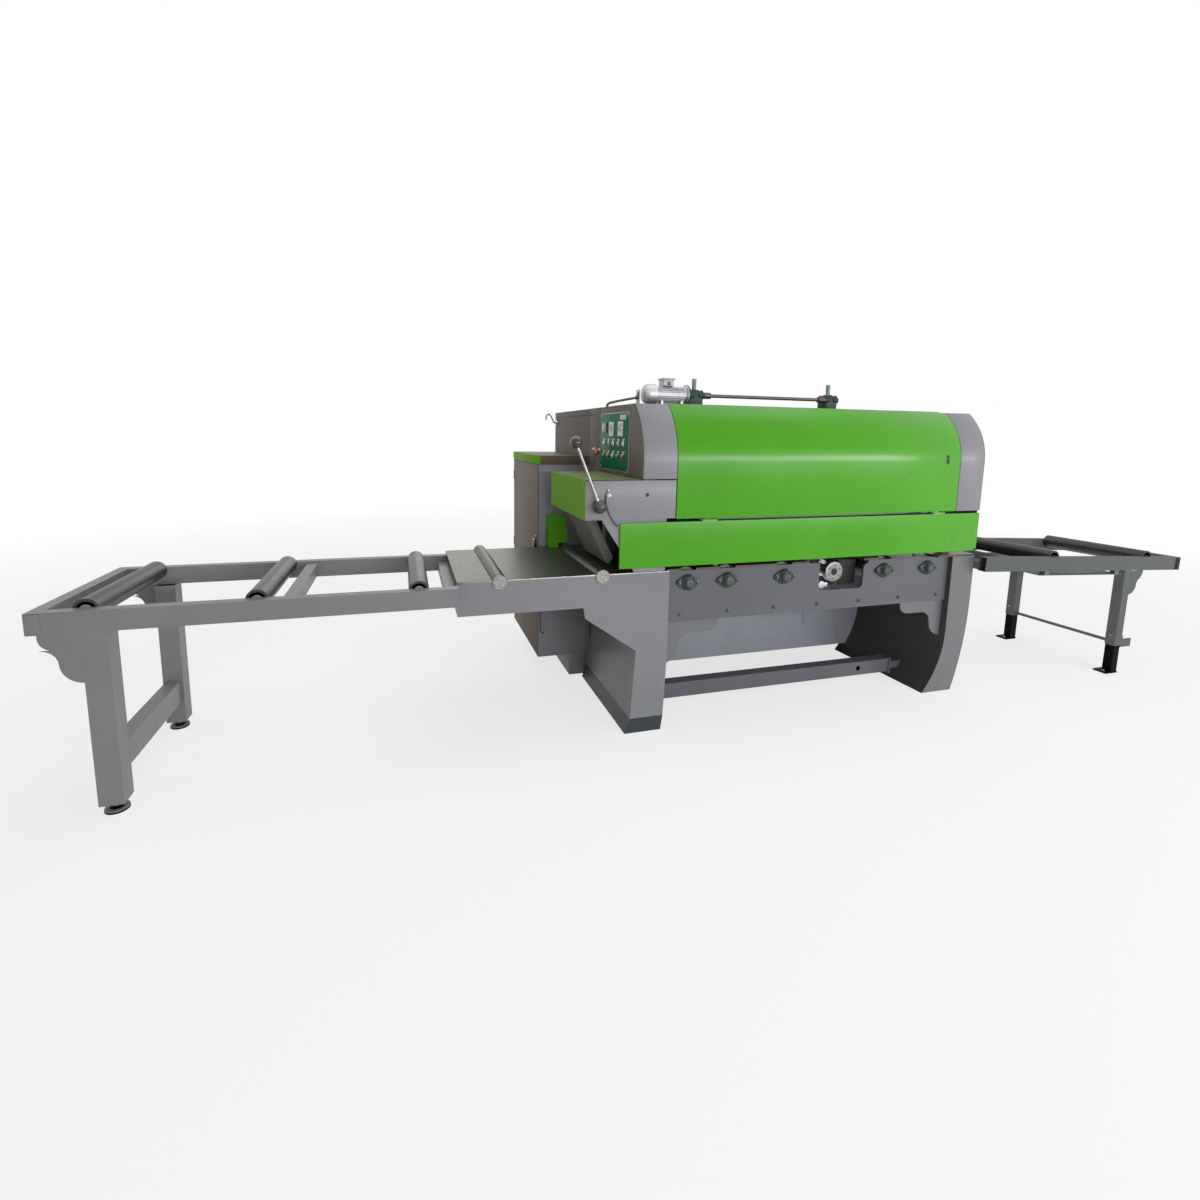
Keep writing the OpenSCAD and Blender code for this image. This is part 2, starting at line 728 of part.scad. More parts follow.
module end_cowls() color("lightslategray") centred() {
    wall_in = body_in_x + sheet_t;
    wall_out = body_out_x - sheet_t;
    back = body_back - sheet_t - weld;
    top = body_top - sheet_t - weld;
    difference() {
        slab_x(body_in_x, wall_in) end_front(lip_y, head_top + 2);
        stem_holes(body_in_x - past, wall_in + past);
    }
    difference() {
        block(body_in_x, wall_in, lip_y + weld, head_back + 8, head_top + 2, top);
        stem_holes(body_in_x - past, wall_in + past);
    }
    difference() {
        block(body_in_x, wall_in, head_back + 8 + weld, housing_y, head_z, top);
        stem_holes(body_in_x - past, wall_in + past);
    }
    slab_x(wall_in + weld, hood_in_x) cover_section(head_top + 2, sheet_t);
    slab_x(wall_out, body_out_x) end_front(lip_y, hood_z);
    block(wall_out, body_out_x, lip_y + weld, housing_y, hood_z, top);
    slab_x(hood_out_x, wall_out - weld) cover_section(hood_z, sheet_t);
    for (x = [body_in_x, wall_out])
        block(x, x + sheet_t, housing_y + weld, back, housing_z, top);
}

module upper_frame() color("dimgray") centred() {
    front_y = 82;
    rear_y = bed_w - 75;
    low_x = body_in_x + 80;
    high_x = bed_l + 2;
    rail_low = body_top - sheet_t - weld - post;
    for (x = [low_x, high_x], y = [front_y, rear_y])
        tube_z(x, x + post, y, y + post, table_h + weld, rail_low - weld, 4);
    for (y = [front_y + 24, rear_y])
        tube_x(body_in_x + sheet_t + weld, body_out_x - sheet_t - weld, y, y + post,
            rail_low, rail_low + post, 4);
    for (x = screw_x) difference() {
        tube_y(x - 40, x + 40, front_y + 24 + post + weld, rear_y - weld,
            rail_low, rail_low + post, 4);
        rod_z(x, screw_y, screw_d / 2 + 6, rail_low - past, rail_low + post + past);
    }
    block(body_in_x + 5, body_out_x - 5, -44, -4, guard_top - 60, guard_top - 6);
    for (x = [low_x, high_x])
        block(x, x + post, -4 + weld, front_y - weld, guard_top - 60, guard_top - 6);
    for (x = [guard_hinge_1_x, guard_hinge_2_x]) {
        for (lug_x = [x - 4 - weld, x + guard_hinge_w + weld]) slab_x(lug_x, lug_x + 4) {
            translate([guard_axis_y, guard_axis_z]) circle(r = 3.5);
            translate([guard_axis_y, guard_axis_z - 3.5]) square([-42 - guard_axis_y, 7]);
            translate([-50, guard_top - 14]) square([8, 23.5]);
        }
        rod_x(guard_axis_y, guard_axis_z, guard_pin_r, x - 4, x + guard_hinge_w + 4);
    }
    for (x = [screw_1_x, feed_x[4] - 60], y = [beam_inset - 33, bed_w - beam_inset + 33])
        rod_z(x, y, guide_d / 2, table_h + weld, curve_z);
}

// One of the twelve knuckles along the hood's hinge, with its leaf
module knuckle(i, side) {
    x0 = hood_in_x + hood_gap + i * knuckle_l + 1.5;
    x1 = x0 + knuckle_l - 3;
    rod_x(hinge_y, body_top + 3, 4, x0, x1);
    block(x0, x1, hinge_y + min(0, side) * 30, hinge_y + max(0, side) * 30, body_top,
        body_top + 1.5);
}

module rear_housing() color("lightslategray") centred() {
    x0 = body_in_x + sheet_t + weld;
    x1 = body_out_x - sheet_t - weld;
    back = body_back - sheet_t;
    difference() {
        block(body_in_x, body_out_x, lip_y + 6, body_back, body_top - sheet_t, body_top);
        for (x = screw_x)
            rod_z(x, screw_y, screw_d / 2 + 6, body_top - 10, body_top + past);
    }
    for (i = [1:2:11])
        knuckle(i, 1);
    difference() {
        block(body_in_x, body_out_x, back, body_back, housing_z, body_top - sheet_t - weld);
        rod_y(dust_x, dust_z, dust_d / 2 - 4, back - past, body_back + past);
    }
    difference() {
        rod_y(dust_x, dust_z, dust_d / 2, body_back + weld, body_back + dust_l);
        rod_y(dust_x, dust_z, dust_d / 2 - 3, body_back, body_back + dust_l + past);
    }
    for (y = base_y)
        tube_x(body_in_x, body_out_x, y, y + 80, 0, housing_z - weld - 20, 5);
    for (x = [body_in_x, body_out_x - 60])
        tube_y(x, x + 60, housing_y + 30, back - weld, housing_z - 20, housing_z - weld, 3);
}

module control_panel() color("seagreen") centred() {
    x1 = body_in_x - weld;
    difference() {
        block(x1 - 4, x1, panel_y, panel_y + panel_w, panel_z, panel_z + panel_h);
        stem_holes(x1 - 5, x1 + past);
    }
    for (i = [1:5])
        rod_x(button_y(i), lamp_z, 11, x1 - 14, x1 - 4 - weld);
    for (y = [panel_y + 106, panel_y + 246])
        block(x1 - 12, x1 - 4 - weld, y - 30, y + 30, panel_z + 182, panel_z + 252);
}

module infeed_head() color("lightslategray") centred() {
    y0 = hood_y - 2;
    x1 = hood_in_x - hood_gap;
    slant = 94;
    difference() {
        block(head_x, x1, y0, y0 + 4, head_z, head_top - sheet_t - weld);
        rod_y(-lever_x, lever_z, lever_d / 2 + run_gap, y0 - past, y0 + 5);
    }
    difference() {
        block(head_x, body_in_x, head_back - 4, head_back, head_z, head_top - sheet_t - weld);
        rod_y(-lever_x, lever_z, lever_d / 2 + run_gap, head_back - 5, head_back + past);
    }
    block(head_x + slant, -weld - 60, y0 + 4 + weld, y0 + 8 - weld, head_z, head_z + 40);
    slab_y(y0 + 8, y0 + 14)
        polygon([[head_x + slant - 12, head_z + 40], [head_x + slant - 12, head_z],
            [head_x + slant + 160, table_h + 20], [-weld - 60, table_h + 20],
            [-weld - 60, head_z + 40]]);
    block(body_in_x + 80, body_in_x + 80 + post, y0 + 14 + weld, -44 - weld,
        guard_top - 60, guard_top - 6);
}

// Sheet of the throat guard, raised over the second roller
module guard_sheet(gx, step_x, top)
    polygon([[gx[0], top], [gx[0], table_h + weld], [step_x, table_h + weld],
        [step_x, table_h + roller_stand + 3], [gx[1], table_h + roller_stand + 3],
        [gx[1], top]]);

module infeed_covers() color("yellowgreen") centred() {
    y0 = hood_y - 2;
    block(head_x - sheet_t, head_x - weld, y0, head_back, head_z, head_top);
    block(head_x, body_in_x - weld, y0, head_back, head_top - sheet_t, head_top);
    gx = [-infeed_2_x - 101, -infeed_2_x + 17];
    step_x = -infeed_2_x - infeed_roller_d / 2 - 3;
    slab_y(bed_w - 42, bed_w - 39) guard_sheet(gx, step_x, table_h + 105);
    block(gx[0], gx[1], bed_w - 39 + weld, bed_w - 8, table_h + 102, table_h + 105);
    slab_y(bed_w - 8 + weld, bed_w - 5) guard_sheet(gx, step_x, table_h + 195);
}

module electrical_cabinet() color("rosybrown") centred() {
    x0 = cabinet_x;
    x1 = body_in_x - weld;
    y0 = cabinet_y;
    y1 = cabinet_y + cabinet_d;
    t = sheet_t;
    block(x0, x1, y0, y0 + t, cabinet_z, cabinet_top);
    block(x0, x1, y1 - t, y1, cabinet_z, cabinet_top);
    block(x0, x1, y0 + t + weld, y1 - t - weld, cabinet_z, cabinet_z + t);
    block(x0, x1, y0 + t + weld, y1 - t - weld, cabinet_top - t, cabinet_top);
    block(x1 - t, x1, y0 + t + weld, y1 - t - weld, cabinet_z + t + weld,
        cabinet_top - t - weld);
    block(x0 - 6, x1, y0 - 4, y1, cabinet_top + weld, cabinet_top + cap_h);
    block(x1 - 105, x1, y0 + 19, y1 - 30, 0, cabinet_z - weld);
    block(x1 - t - 26, x1 - t - weld, y0 + 60, y1 - 60, cabinet_z + 90, cabinet_top - 90);
}

module lift_motor() color("silver") centred() {
    x1 = screw_1_x - jack_w / 2 - 8;
    x0 = x1 - lift_motor_l;
    r = lift_motor_d / 2;
    rod_x(screw_y, lift_axis_z, r, x0 + 18, x1 - 12);
    rod_x(screw_y, lift_axis_z, r - 8, x0, x0 + 18 - weld);
    rod_x(screw_y, lift_axis_z, min(r + 5, lift_z - 12.5), x1 - 12 + weld, x1);
    block(x0 + 111, x0 + 168, screw_y - 30, screw_y + 30, lift_axis_z + r - 8,
        lift_axis_z + r + 36);
    block(x0 - 26, x0 - weld, screw_y - 26, screw_y + 26, body_top + weld,
        lift_axis_z + 22);
    for (x = [x0 + 30, x1 - 60])
        block(x, x + 30, screw_y - 42, screw_y + 42, body_top + weld, lift_axis_z - 20);
}

module lift_jacks() color("darkslategray") centred()
    for (x = screw_x) {
        difference() {
            union() {
                block(x - jack_w / 2, x + jack_w / 2, screw_y - 40, screw_y + 40,
                    jack_z, body_top + jack_h);
                block(x - jack_w / 2 - 14, x + jack_w / 2 + 14, screw_y - 52, screw_y + 52,
                    body_top + weld, jack_z);
            }
            rod_z(x, screw_y, screw_d / 2 + run_gap, body_top, body_top + jack_h + past);
            rod_x(screw_y - 26, lift_axis_z, lift_d / 2 + run_gap, x - 60, x + 60);
        }
    }

module flange_bearing(x, y, turn)
    translate([x, y, feed_z]) rotate([90 * turn, 0, 0]) difference() {
        union() {
            linear_extrude(flange_t) {
                link(flange_r, flange_ear_r, flange_bolt);
                mirror([1, 0]) link(flange_r, flange_ear_r, flange_bolt);
            }
            cylinder(r = 35, h = boss_h - 8);
            cylinder(r = 26, h = boss_h);
        }
        translate([0, 0, -past]) cylinder(r = journal_d / 2 + run_gap, h = boss_h + 2 * past);
    }

module flange_bearings() color("darkgray") centred()
    for (x = feed_x) {
        flange_bearing(x, front_plate_y - weld, 1);
        flange_bearing(x, bed_w - plate_recess + weld, -1);
    }

module bolt_head(x, y, z, r, turn)
    translate([x, y, z]) rotate([90 * turn, 0, 0]) cylinder(r = r, h = 8, $fn = 6);

module fasteners() color("dimgray") centred() {
    for (i = [0:6]) {
        x = 80 + i * (bed_l - 150) / 6;
        bolt_head(x, front_plate_y - weld, plate_bottom + 40, 9, 1);
        bolt_head(x, bed_w - plate_recess + weld, plate_bottom + 40, 9, -1);
    }
    for (x = feed_x, side = [-1, 1]) {
        bolt_head(x + side * flange_bolt, front_plate_y - flange_t - 2 * weld, feed_z, 8, 1);
        bolt_head(x + side * flange_bolt, bed_w - plate_recess + flange_t + 2 * weld,
            feed_z, 8, -1);
    }
}

module main_motor() color("cadetblue") centred() {
    r = motor_d / 2;
    y1 = motor_y + motor_l;
    difference() {
        union() {
            rod_y(saw_x, motor_z, r, motor_y, y1);
            block(saw_x - motor_foot_w / 2, saw_x + motor_foot_w / 2, motor_y + 60, y1 - 80,
                housing_z, motor_z);
        }
        rod_y(saw_x, motor_z, 24 + run_gap, motor_y - past, motor_y + 90);
    }
    block(saw_x - motor_box_w / 2, saw_x + motor_box_w / 2, motor_y + 120,
        motor_y + 120 + motor_box_l, motor_z + r + weld, motor_z + r + motor_box_h);
    for (x = [saw_x - 150, saw_x + 70])
        tube_y(x, x + 80, base_y[0] + 20, base_y[1] + 60, housing_z - 19.8, housing_z - weld, 4);
}

module motor_pulley() color("dimgray") centred() {
    rod_y(saw_x, motor_z, motor_pulley_d / 2, pulley_y, pulley_y + pulley_w);
    rod_y(saw_x, motor_z, 24, pulley_y + pulley_w, motor_y + 80);
}

module drive_belts() color("black") centred() {
    d = arbor_z - motor_z;
    r1 = motor_pulley_d / 2 + 1;
    r2 = arbor_pulley_d / 2 + 1;
    step = pulley_w / belt_n;
    for (i = [0:belt_n - 1])
        translate([saw_x, pulley_y + (i + 0.5) * step + belt_w / 2, motor_z])
            rotate([90, 0, 0]) linear_extrude(belt_w) rotate(90) difference() {
                polygon(loop_outline(r1 + belt_t, r2 + belt_t, d));
                polygon(loop_outline(r1, r2, d));
            }
}

module feed_drive() color("darkolivegreen") centred() {
    r = sprocket_d / 2 + 0.3;
    l = feed_x[4] - feed_x[0];
    translate([feed_x[0], sprocket_y + sprocket_t - 1, feed_z]) rotate([90, 0, 0])
        linear_extrude(sprocket_t - 2) difference() {
            link(r + 9, r + 9, l);
            link(r, r, l);
        }
    difference() {
        block(feed_x[4] - gearbox_w / 2, feed_x[4] + gearbox_w / 2, sprocket_y + 40,
            sprocket_y + 150, feed_z - gearbox_w / 2, feed_z + gearbox_w / 2);
        rod_y(feed_x[4], feed_z, journal_d / 2 + run_gap, sprocket_y + 39, sprocket_y + 151);
    }
    rod_z(feed_x[4], sprocket_y + 95, feed_motor_d / 2, feed_z - gearbox_w / 2 - feed_motor_l,
        feed_z - gearbox_w / 2 - weld);
    block(feed_x[4] - 60, body_out_x - sheet_t - weld, sprocket_y + 80, sprocket_y + 110,
        feed_z + gearbox_w / 2 + weld, feed_z + gearbox_w / 2 + 15);
}

module arbor_housing() color("darkslategray") centred() {
    y0 = bed_w - plate_recess + weld;
    difference() {
        union() {
            rod_y(saw_x, arbor_z, arbor_d / 2 + 9, y0, pulley_y - 12);
            rod_y(saw_x, arbor_z, 80, y0, y0 + 18);
        }
        rod_y(saw_x, arbor_z, arbor_d / 2 + run_gap, y0 - past, pulley_y);
    }
}

module levelling_foot(x, y, z1) {
    rod_z(x, y, 42, 0, 12);
    rod_z(x, y, 10, 12, z1);
}

// Front and rear rail of a roller table, drilled for the rollers' axles
module rails(x0, x1, at, width)
    for (side = [0, 1]) difference() {
        y = side * (width - rail_w) - table_out;
        tube_x(x0, x1, y, y + rail_w, rail_z, rail_top, tube_t);
        for (x = at)
            rod_y(x, idle_z, axle_d / 2 + run_gap, side ? y - past : y + rail_w - 10,
                side ? y + 10 : y + rail_w + past);
    }

// A cross member between two rails
module cross(x0, x1, width, z0, z1)
    tube_y(x0, x1, rail_w - table_out + weld, width - table_out - rail_w - weld, z0, z1,
        tube_t);

left_rollers = [for (x = [left_1_x, left_2_x, left_3_x]) infeed_end_x + x];

module infeed_roller_table() color("slategray") centred() {
    x0 = infeed_end_x;
    x1 = -infeed_l - weld;
    leg_x = x0 + left_leg_in;
    foot_z = 48;
    leg_y = [-table_out, left_w - table_out - left_leg_w];
    rails(x0 + rail_w + weld, x1, left_rollers, left_w);
    tube_y(x0, x0 + rail_w, -table_out, left_w - table_out, rail_z, rail_top, tube_t);
    cross(x0 + left_bar_x - 25, x0 + left_bar_x + 25, left_w, rail_z + 15, rail_top - 10);
    cross(x1 - 50, x1, left_w, rail_z + 5, rail_z + 50);
    for (y = leg_y) {
        tube_z(leg_x, leg_x + left_leg_w, y, y + left_leg_w, foot_z, rail_z - weld, tube_t);
        gusset_y = y < 0 ? y : y + left_leg_w - 6;
        slab_y(gusset_y, gusset_y + 6)
            translate([leg_x - weld, rail_z - weld]) ogee(gusset_l, gusset_h, 0);
        block(leg_x, leg_x + left_leg_w, y, y + left_leg_w, foot_z - 8, foot_z - weld);
        levelling_foot(leg_x + left_leg_w / 2, y + left_leg_w / 2, foot_z - 8 - weld);
    }
    tube_y(leg_x + 12, leg_x + left_leg_w - 12, leg_y[0] + left_leg_w + weld,
        leg_y[1] - weld, cross_z, cross_z + cross_h, tube_t);
}

right_x = bed_l + outfeed_ped_w + weld;
module fallen() translate([right_x, 0, rail_z]) rotate([0, right_fall, 0])
    translate([-right_x, 0, -rail_z]) children();
function under_rail(x) = rail_z - (x - right_x) * tan(right_fall) - weld;

right_end = right_x + right_l;
right_rollers = [right_end - right_1_x, right_end - right_2_x];
leg_x0 = right_end - right_leg_in;
leg_x1 = leg_x0 + right_leg_w;
right_leg_y = [-table_out, right_w - table_out - right_leg_w];

module outfeed_roller_table() color("slategray") centred() {
    fallen() {
        rails(right_x, right_end - rail_w - weld, right_rollers, right_w);
        tube_y(right_end - rail_w, right_end, -table_out, right_w - table_out, rail_z,
            rail_top, tube_t);
        cross(right_x, right_x + 40, right_w, rail_z + 5, rail_z + 50);
        cross(right_x + 380, right_x + 420, right_w, rail_z + 5, rail_z + 50);
    }
    for (y = right_leg_y) difference() {
        slab_y(y, y + right_leg_w)
            polygon([[leg_x0, right_leg_z], [leg_x1, right_leg_z],
                [leg_x1, under_rail(leg_x1)], [leg_x0, under_rail(leg_x0)]]);
        block(leg_x0 + tube_t, leg_x1 - tube_t, y + tube_t, y + right_leg_w - tube_t,
            right_leg_z - past, rail_top);
    }
    for (y = right_leg_y, gusset_y = y < 0 ? y : y + right_leg_w - 6)
        slab_y(gusset_y, gusset_y + 6)
            translate([leg_x1 + weld, under_rail(leg_x1 + gusset_l * 0.8)])
            mirror([1, 0]) ogee(gusset_l * 0.8, gusset_h * 0.8, 0);
    block(leg_x0 + 14, leg_x1 - 14, right_leg_y[0] + right_leg_w + weld,
        right_leg_y[1] - weld, right_leg_z + 14, right_leg_z + 26);
    difference() {
        block(leg_x1 + weld, leg_x1 + 96, right_leg_y[0] + 4, right_leg_y[0] + 54,
            right_leg_z - 14, right_leg_z + 42);
        block(leg_x1, leg_x1 + 100, right_leg_y[0] + 8, right_leg_y[0] + 50,
            right_leg_z - 10, right_leg_z + 50);
    }
}

module material_tray() color("gray") centred()
    fallen() {
        z = rail_z - 30;
        y0 = 10 - table_out;
        y1 = right_w - table_out - 10;
        difference() {
            block(right_x + tray_in, leg_x0 - 20, y0, y1, z, z + 4);
            block(right_x + tray_hole_in, right_x + tray_hole_in + tray_hole_l,
                tray_hole_y, tray_hole_y + tray_hole_w, z - past, z + 5);
        }
        for (x = [right_x + tray_in + 40, leg_x0 - 80], y = [y0, y1 - 30])
            block(x, x + 40, y, y + 30, z + 4 + weld, rail_z - weld);
    }

module hood() color("yellowgreen") centred() {
    x0 = hood_in_x + hood_gap;
    x1 = hood_out_x - hood_gap;
    slab_x(x0, x1) cover_section(hood_z, sheet_t);
    for (i = [0:2:10])
        knuckle(i, -1);
}

module front_guard() color("yellowgreen") centred() {
    x0 = -guard_in;
    x1 = body_out_x - 4;
    y0 = hood_y - 5;
    block(x0, x1, y0, y0 + sheet_t, guard_z, guard_top);
    block(x0, x1, y0 + sheet_t, y0 + guard_fold, guard_z, guard_z + sheet_t);
    for (x = [x0, x1 - sheet_t])
        block(x, x + sheet_t, y0 + sheet_t, y0 + guard_fold, guard_z + sheet_t, guard_top - 6);
    for (x = [guard_hinge_1_x, guard_hinge_2_x]) difference() {
        union() {
            rod_x(guard_axis_y, guard_axis_z, 4, x, x + guard_hinge_w);
            block(x, x + guard_hinge_w, y0 + 2, guard_axis_y, guard_top - 20, guard_axis_z);
        }
        rod_x(guard_axis_y, guard_axis_z, guard_pin_r + run_gap, x - past,
            x + guard_hinge_w + past);
    }
}

module ball_lever() color("silver") centred() {
    translate([-lever_x, 0, lever_z]) {
        translate([0, hub_y, 0]) {
            sphere(r = hub_r);
            rotate([0, -lever_lean, 0]) {
                cylinder(r = 7, h = lever_l);
                translate([0, 0, lever_l]) sphere(r = knob_r);
            }
        }
    }
    rod_y(-lever_x, lever_z, lever_d / 2, hub_y, head_back + 12);
}

module kickback_fingers() color("dimgray") centred() {
    drop = lever_z - table_h - finger_gap;
    y0 = head_back - 30 - finger_n * finger_pitch;
    for (i = [0:finger_n - 1]) {
        y = y0 + i * finger_pitch;
        difference() {
            union() {
                rod_y(-lever_x, lever_z, 22, y, y + finger_t);
                slab_y(y, y + finger_t) translate([-lever_x, lever_z])
                    polygon([[-20, -8], [20, 8], [drop * 0.42 + 26, -drop + 34],
                        [drop * 0.42 + 8, -drop], [drop * 0.42 - 12, -drop + 6]]);
            }
            rod_y(-lever_x, lever_z, lever_d / 2 + run_gap, y - past, y + finger_t + past);
        }
    }
}

module press_beam() color("slategray") centred() {
    x0 = feed_x[1] - 110;
    x1 = feed_x[4] + 100;
    z1 = beam_z + beam_h;
    inner = beam_inset + beam_t;
    for (y = [beam_inset, bed_w - inner]) difference() {
        block(x0, x1, y, y + beam_t, beam_z, z1);
        for (x = press_x)
            rod_y(x, press_z, axle_d / 2 + run_gap, y - past, y + beam_t + past);
    }
    for (x = screw_x)
        block(x - 60, x + 60, inner + weld, bed_w - inner - weld, z1 - 60, z1);
    for (x = screw_x)
        rod_z(x, screw_y, screw_d / 2, z1 + weld, body_top + screw_up);
    for (x = [screw_1_x, feed_x[4] - 60], side = [0, 1]) difference() {
        y = side ? bed_w - beam_inset + weld : beam_inset - weld - 58;
        block(x - 34, x + 34, y, y + 58, z1 - 80, z1 - 20);
        rod_z(x, side ? bed_w - beam_inset + 33 : beam_inset - 33,
            guide_d / 2 + 2 * run_gap, z1 - 81, z1 - 19);
    }
}

module pressure_roller(i) color("gray") centred() {
    y0 = beam_inset + beam_t;
    rod_y(press_x[i - 1], press_z, press_r, y0 + 5, bed_w - y0 - 5);
    rod_y(press_x[i - 1], press_z, axle_d / 2, beam_inset + 1, bed_w - beam_inset - 1);
}

module feed_roller(i) color("gray") centred() {
    x = feed_x[i - 1];
    y0 = plate_recess + bearing_plate_t + 16;
    rod_y(x, feed_z, feed_r, y0, bed_w - y0);
    rod_y(x, feed_z, journal_d / 2, front_plate_y - boss_h - 4,
        sprocket_y + (i == 5 ? 140 : sprocket_t));
    rod_y(x, feed_z, sprocket_d / 2, sprocket_y, sprocket_y + sprocket_t);
}

blade_0_y = bed_w / 2 - (blade_n - 1) * blade_pitch / 2;

module saw_arbor() color("silver") centred() {
    y_nut = 52;
    difference() {
        union() {
            rod_y(saw_x, arbor_z, arbor_d / 2, y_nut, pulley_y + pulley_w);
            rod_y(saw_x, arbor_z, ring_nut_d / 2, y_nut, y_nut + 28);
            rod_y(saw_x, arbor_z, arbor_pulley_d / 2, pulley_y, pulley_y + pulley_w);
        }
        rod_y(saw_x, arbor_z, 16, y_nut - past, y_nut + 40);
        for (a = [30:120:270])
            translate([saw_x, 0, arbor_z]) rotate([0, a, 0])
                rod_y(0, 40, 5, y_nut - past, y_nut + 14);
    }
    for (i = [0:blade_n])
        difference() {
            rod_y(saw_x, arbor_z, 48, blade_0_y + (i - 1) * blade_pitch + blade_t / 2 + weld,
                blade_0_y + i * blade_pitch - blade_t / 2 - weld);
            rod_y(saw_x, arbor_z, arbor_d / 2 + weld, 0, bed_w);
        }
}

module saw_blades() color("lightgray") centred()
    for (i = [0:blade_n - 1]) {
        y = blade_0_y + i * blade_pitch;
        difference() {
            rod_y(saw_x, arbor_z, blade_d / 2, y - blade_t / 2, y + blade_t / 2);
            rod_y(saw_x, arbor_z, arbor_d / 2 + weld, y - blade_t, y + blade_t);
        }
    }

module idle_roller(x, z, width) {
    y0 = rail_w - table_out;
    y1 = width - table_out - rail_w;
    rod_y(x, z, idle_d / 2, y0 + 4, y1 - 4);
    rod_y(x, z, axle_d / 2, y0 - 9, y1 + 9);
}

module table_roller(i) color("gray") centred() idle_roller(left_rollers[i - 1], idle_z, left_w);

module outfeed_roller(i) color("gray") centred() fallen()
    idle_roller(right_rollers[i - 1], idle_z, right_w);

module infeed_roller(i) color("gray") centred() {
    x = i == 1 ? -infeed_1_x : -infeed_2_x;
    rod_y(x, infeed_roller_z, infeed_roller_d / 2, face_t + 3, bed_w - face_t - 3);
    rod_y(x, infeed_roller_z, axle_d / 2, -3, bed_w + 3);
}

module pushed(y, z, cap_r, stem_r, cap_t, travel) {
    x = body_in_x - 4 - weld;
    rod_x(y, z, cap_r, x - travel - 1 - cap_t, x - travel - 1);
    rod_x(y, z, stem_r, x - travel - 1, body_in_x + sheet_t + 4);
}

module push_button(i) color("whitesmoke") centred()
    pushed(button_y(i), button_z, 12, 8, 7, button_travel);

module emergency_stop() color("red") centred()
    pushed(estop_y, estop_z, 20, 10, 14, button_travel + 1);

module cabinet_door() color("rosybrown") centred() {
    y0 = cabinet_y + 3;
    y1 = cabinet_y + cabinet_d - 3;
    block(cabinet_x - sheet_t - weld, cabinet_x - weld, y0, y1, cabinet_z + 5, cabinet_top - 4);
    block(cabinet_x - 22, cabinet_x - sheet_t - weld, y0 + 40, y0 + 60,
        cabinet_z + door_handle_z, cabinet_z + door_handle_z + door_handle_l);
    for (z = [cabinet_z + 115, (cabinet_z + cabinet_top) / 2, cabinet_top - 115])
        rod_z(cabinet_x - 2.5 - 2 * weld, y1 + 2.5 + weld, 2.5, z - 30, z + 30);
}

module lift_shaft() color("silver") centred() {
    rod_x(screw_y - 26, lift_axis_z, lift_d / 2, screw_1_x - 20, screw_2_x + 20);
    rod_x(screw_y - 26, lift_axis_z, 17, screw_2_x - jack_w / 2 - 44, screw_2_x - jack_w / 2 - 4);
    rod_x(screw_y - 26, lift_axis_z, 17, screw_1_x + jack_w / 2 + 6, screw_1_x + jack_w / 2 + 50);
}

module leg_foot(i) color("black") centred() {
    y = right_leg_y[i];
    in = tube_t + leg_gap;
    tube_z(leg_x0 + in, leg_x1 - in, y + in, y + right_leg_w - in, 10, 10 + leg_l, tube_t);
    block(leg_x0 - 44, leg_x1, y, y + right_leg_w + 20, 0, 10);
}

module front_leg_foot() leg_foot(0);
module rear_leg_foot() leg_foot(1);

infeed_pedestal();
outfeed_pedestal();
front_bearing_plate();
rear_bearing_plate();
corner_brackets();
tie_beam();
infeed_table();
bed_plates();
end_cowls();
upper_frame();
rear_housing();
control_panel();
infeed_head();
infeed_covers();
electrical_cabinet();
lift_motor();
lift_jacks();
flange_bearings();
fasteners();
main_motor();
drive_belts();
feed_drive();
arbor_housing();
infeed_roller_table();
outfeed_roller_table();
material_tray();
hood();
front_guard();
ball_lever();
kickback_fingers();
press_beam();
pressure_roller(1);  // pressure_roller_1
pressure_roller(2);  // pressure_roller_2
pressure_roller(3);  // pressure_roller_3
pressure_roller(4);  // pressure_roller_4
feed_roller(1);  // feed_roller_1
feed_roller(2);  // feed_roller_2
feed_roller(3);  // feed_roller_3
feed_roller(4);  // feed_roller_4
feed_roller(5);  // feed_roller_5
saw_arbor();
saw_blades();
motor_pulley();
table_roller(1);  // table_roller_1
table_roller(2);  // table_roller_2
table_roller(3);  // table_roller_3
infeed_roller(1);  // infeed_roller_1
infeed_roller(2);  // infeed_roller_2
outfeed_roller(1);  // outfeed_roller_1
outfeed_roller(2);  // outfeed_roller_2
push_button(1);  // push_button_1
push_button(2);  // push_button_2
push_button(3);  // push_button_3
push_button(4);  // push_button_4
push_button(5);  // push_button_5
emergency_stop();
cabinet_door();
lift_shaft();
front_leg_foot();
rear_leg_foot();
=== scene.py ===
import math
import bmesh
import bpy
from mathutils import Matrix, Vector


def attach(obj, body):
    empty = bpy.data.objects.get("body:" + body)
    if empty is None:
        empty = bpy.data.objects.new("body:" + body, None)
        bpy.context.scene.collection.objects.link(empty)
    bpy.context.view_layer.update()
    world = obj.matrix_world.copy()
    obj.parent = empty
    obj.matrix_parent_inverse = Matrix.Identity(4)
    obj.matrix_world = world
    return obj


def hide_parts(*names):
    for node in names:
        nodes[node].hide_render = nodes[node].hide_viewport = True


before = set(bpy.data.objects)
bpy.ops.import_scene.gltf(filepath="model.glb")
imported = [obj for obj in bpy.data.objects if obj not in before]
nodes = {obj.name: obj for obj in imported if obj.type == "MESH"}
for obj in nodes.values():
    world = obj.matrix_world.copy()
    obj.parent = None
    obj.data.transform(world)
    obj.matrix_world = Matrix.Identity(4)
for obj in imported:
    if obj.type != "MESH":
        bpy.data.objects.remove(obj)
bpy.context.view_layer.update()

# Machine measures in mm: x along the feed from the bed's infeed end, y from its front, z from the floor
MX, MY = 545.635, 792.5


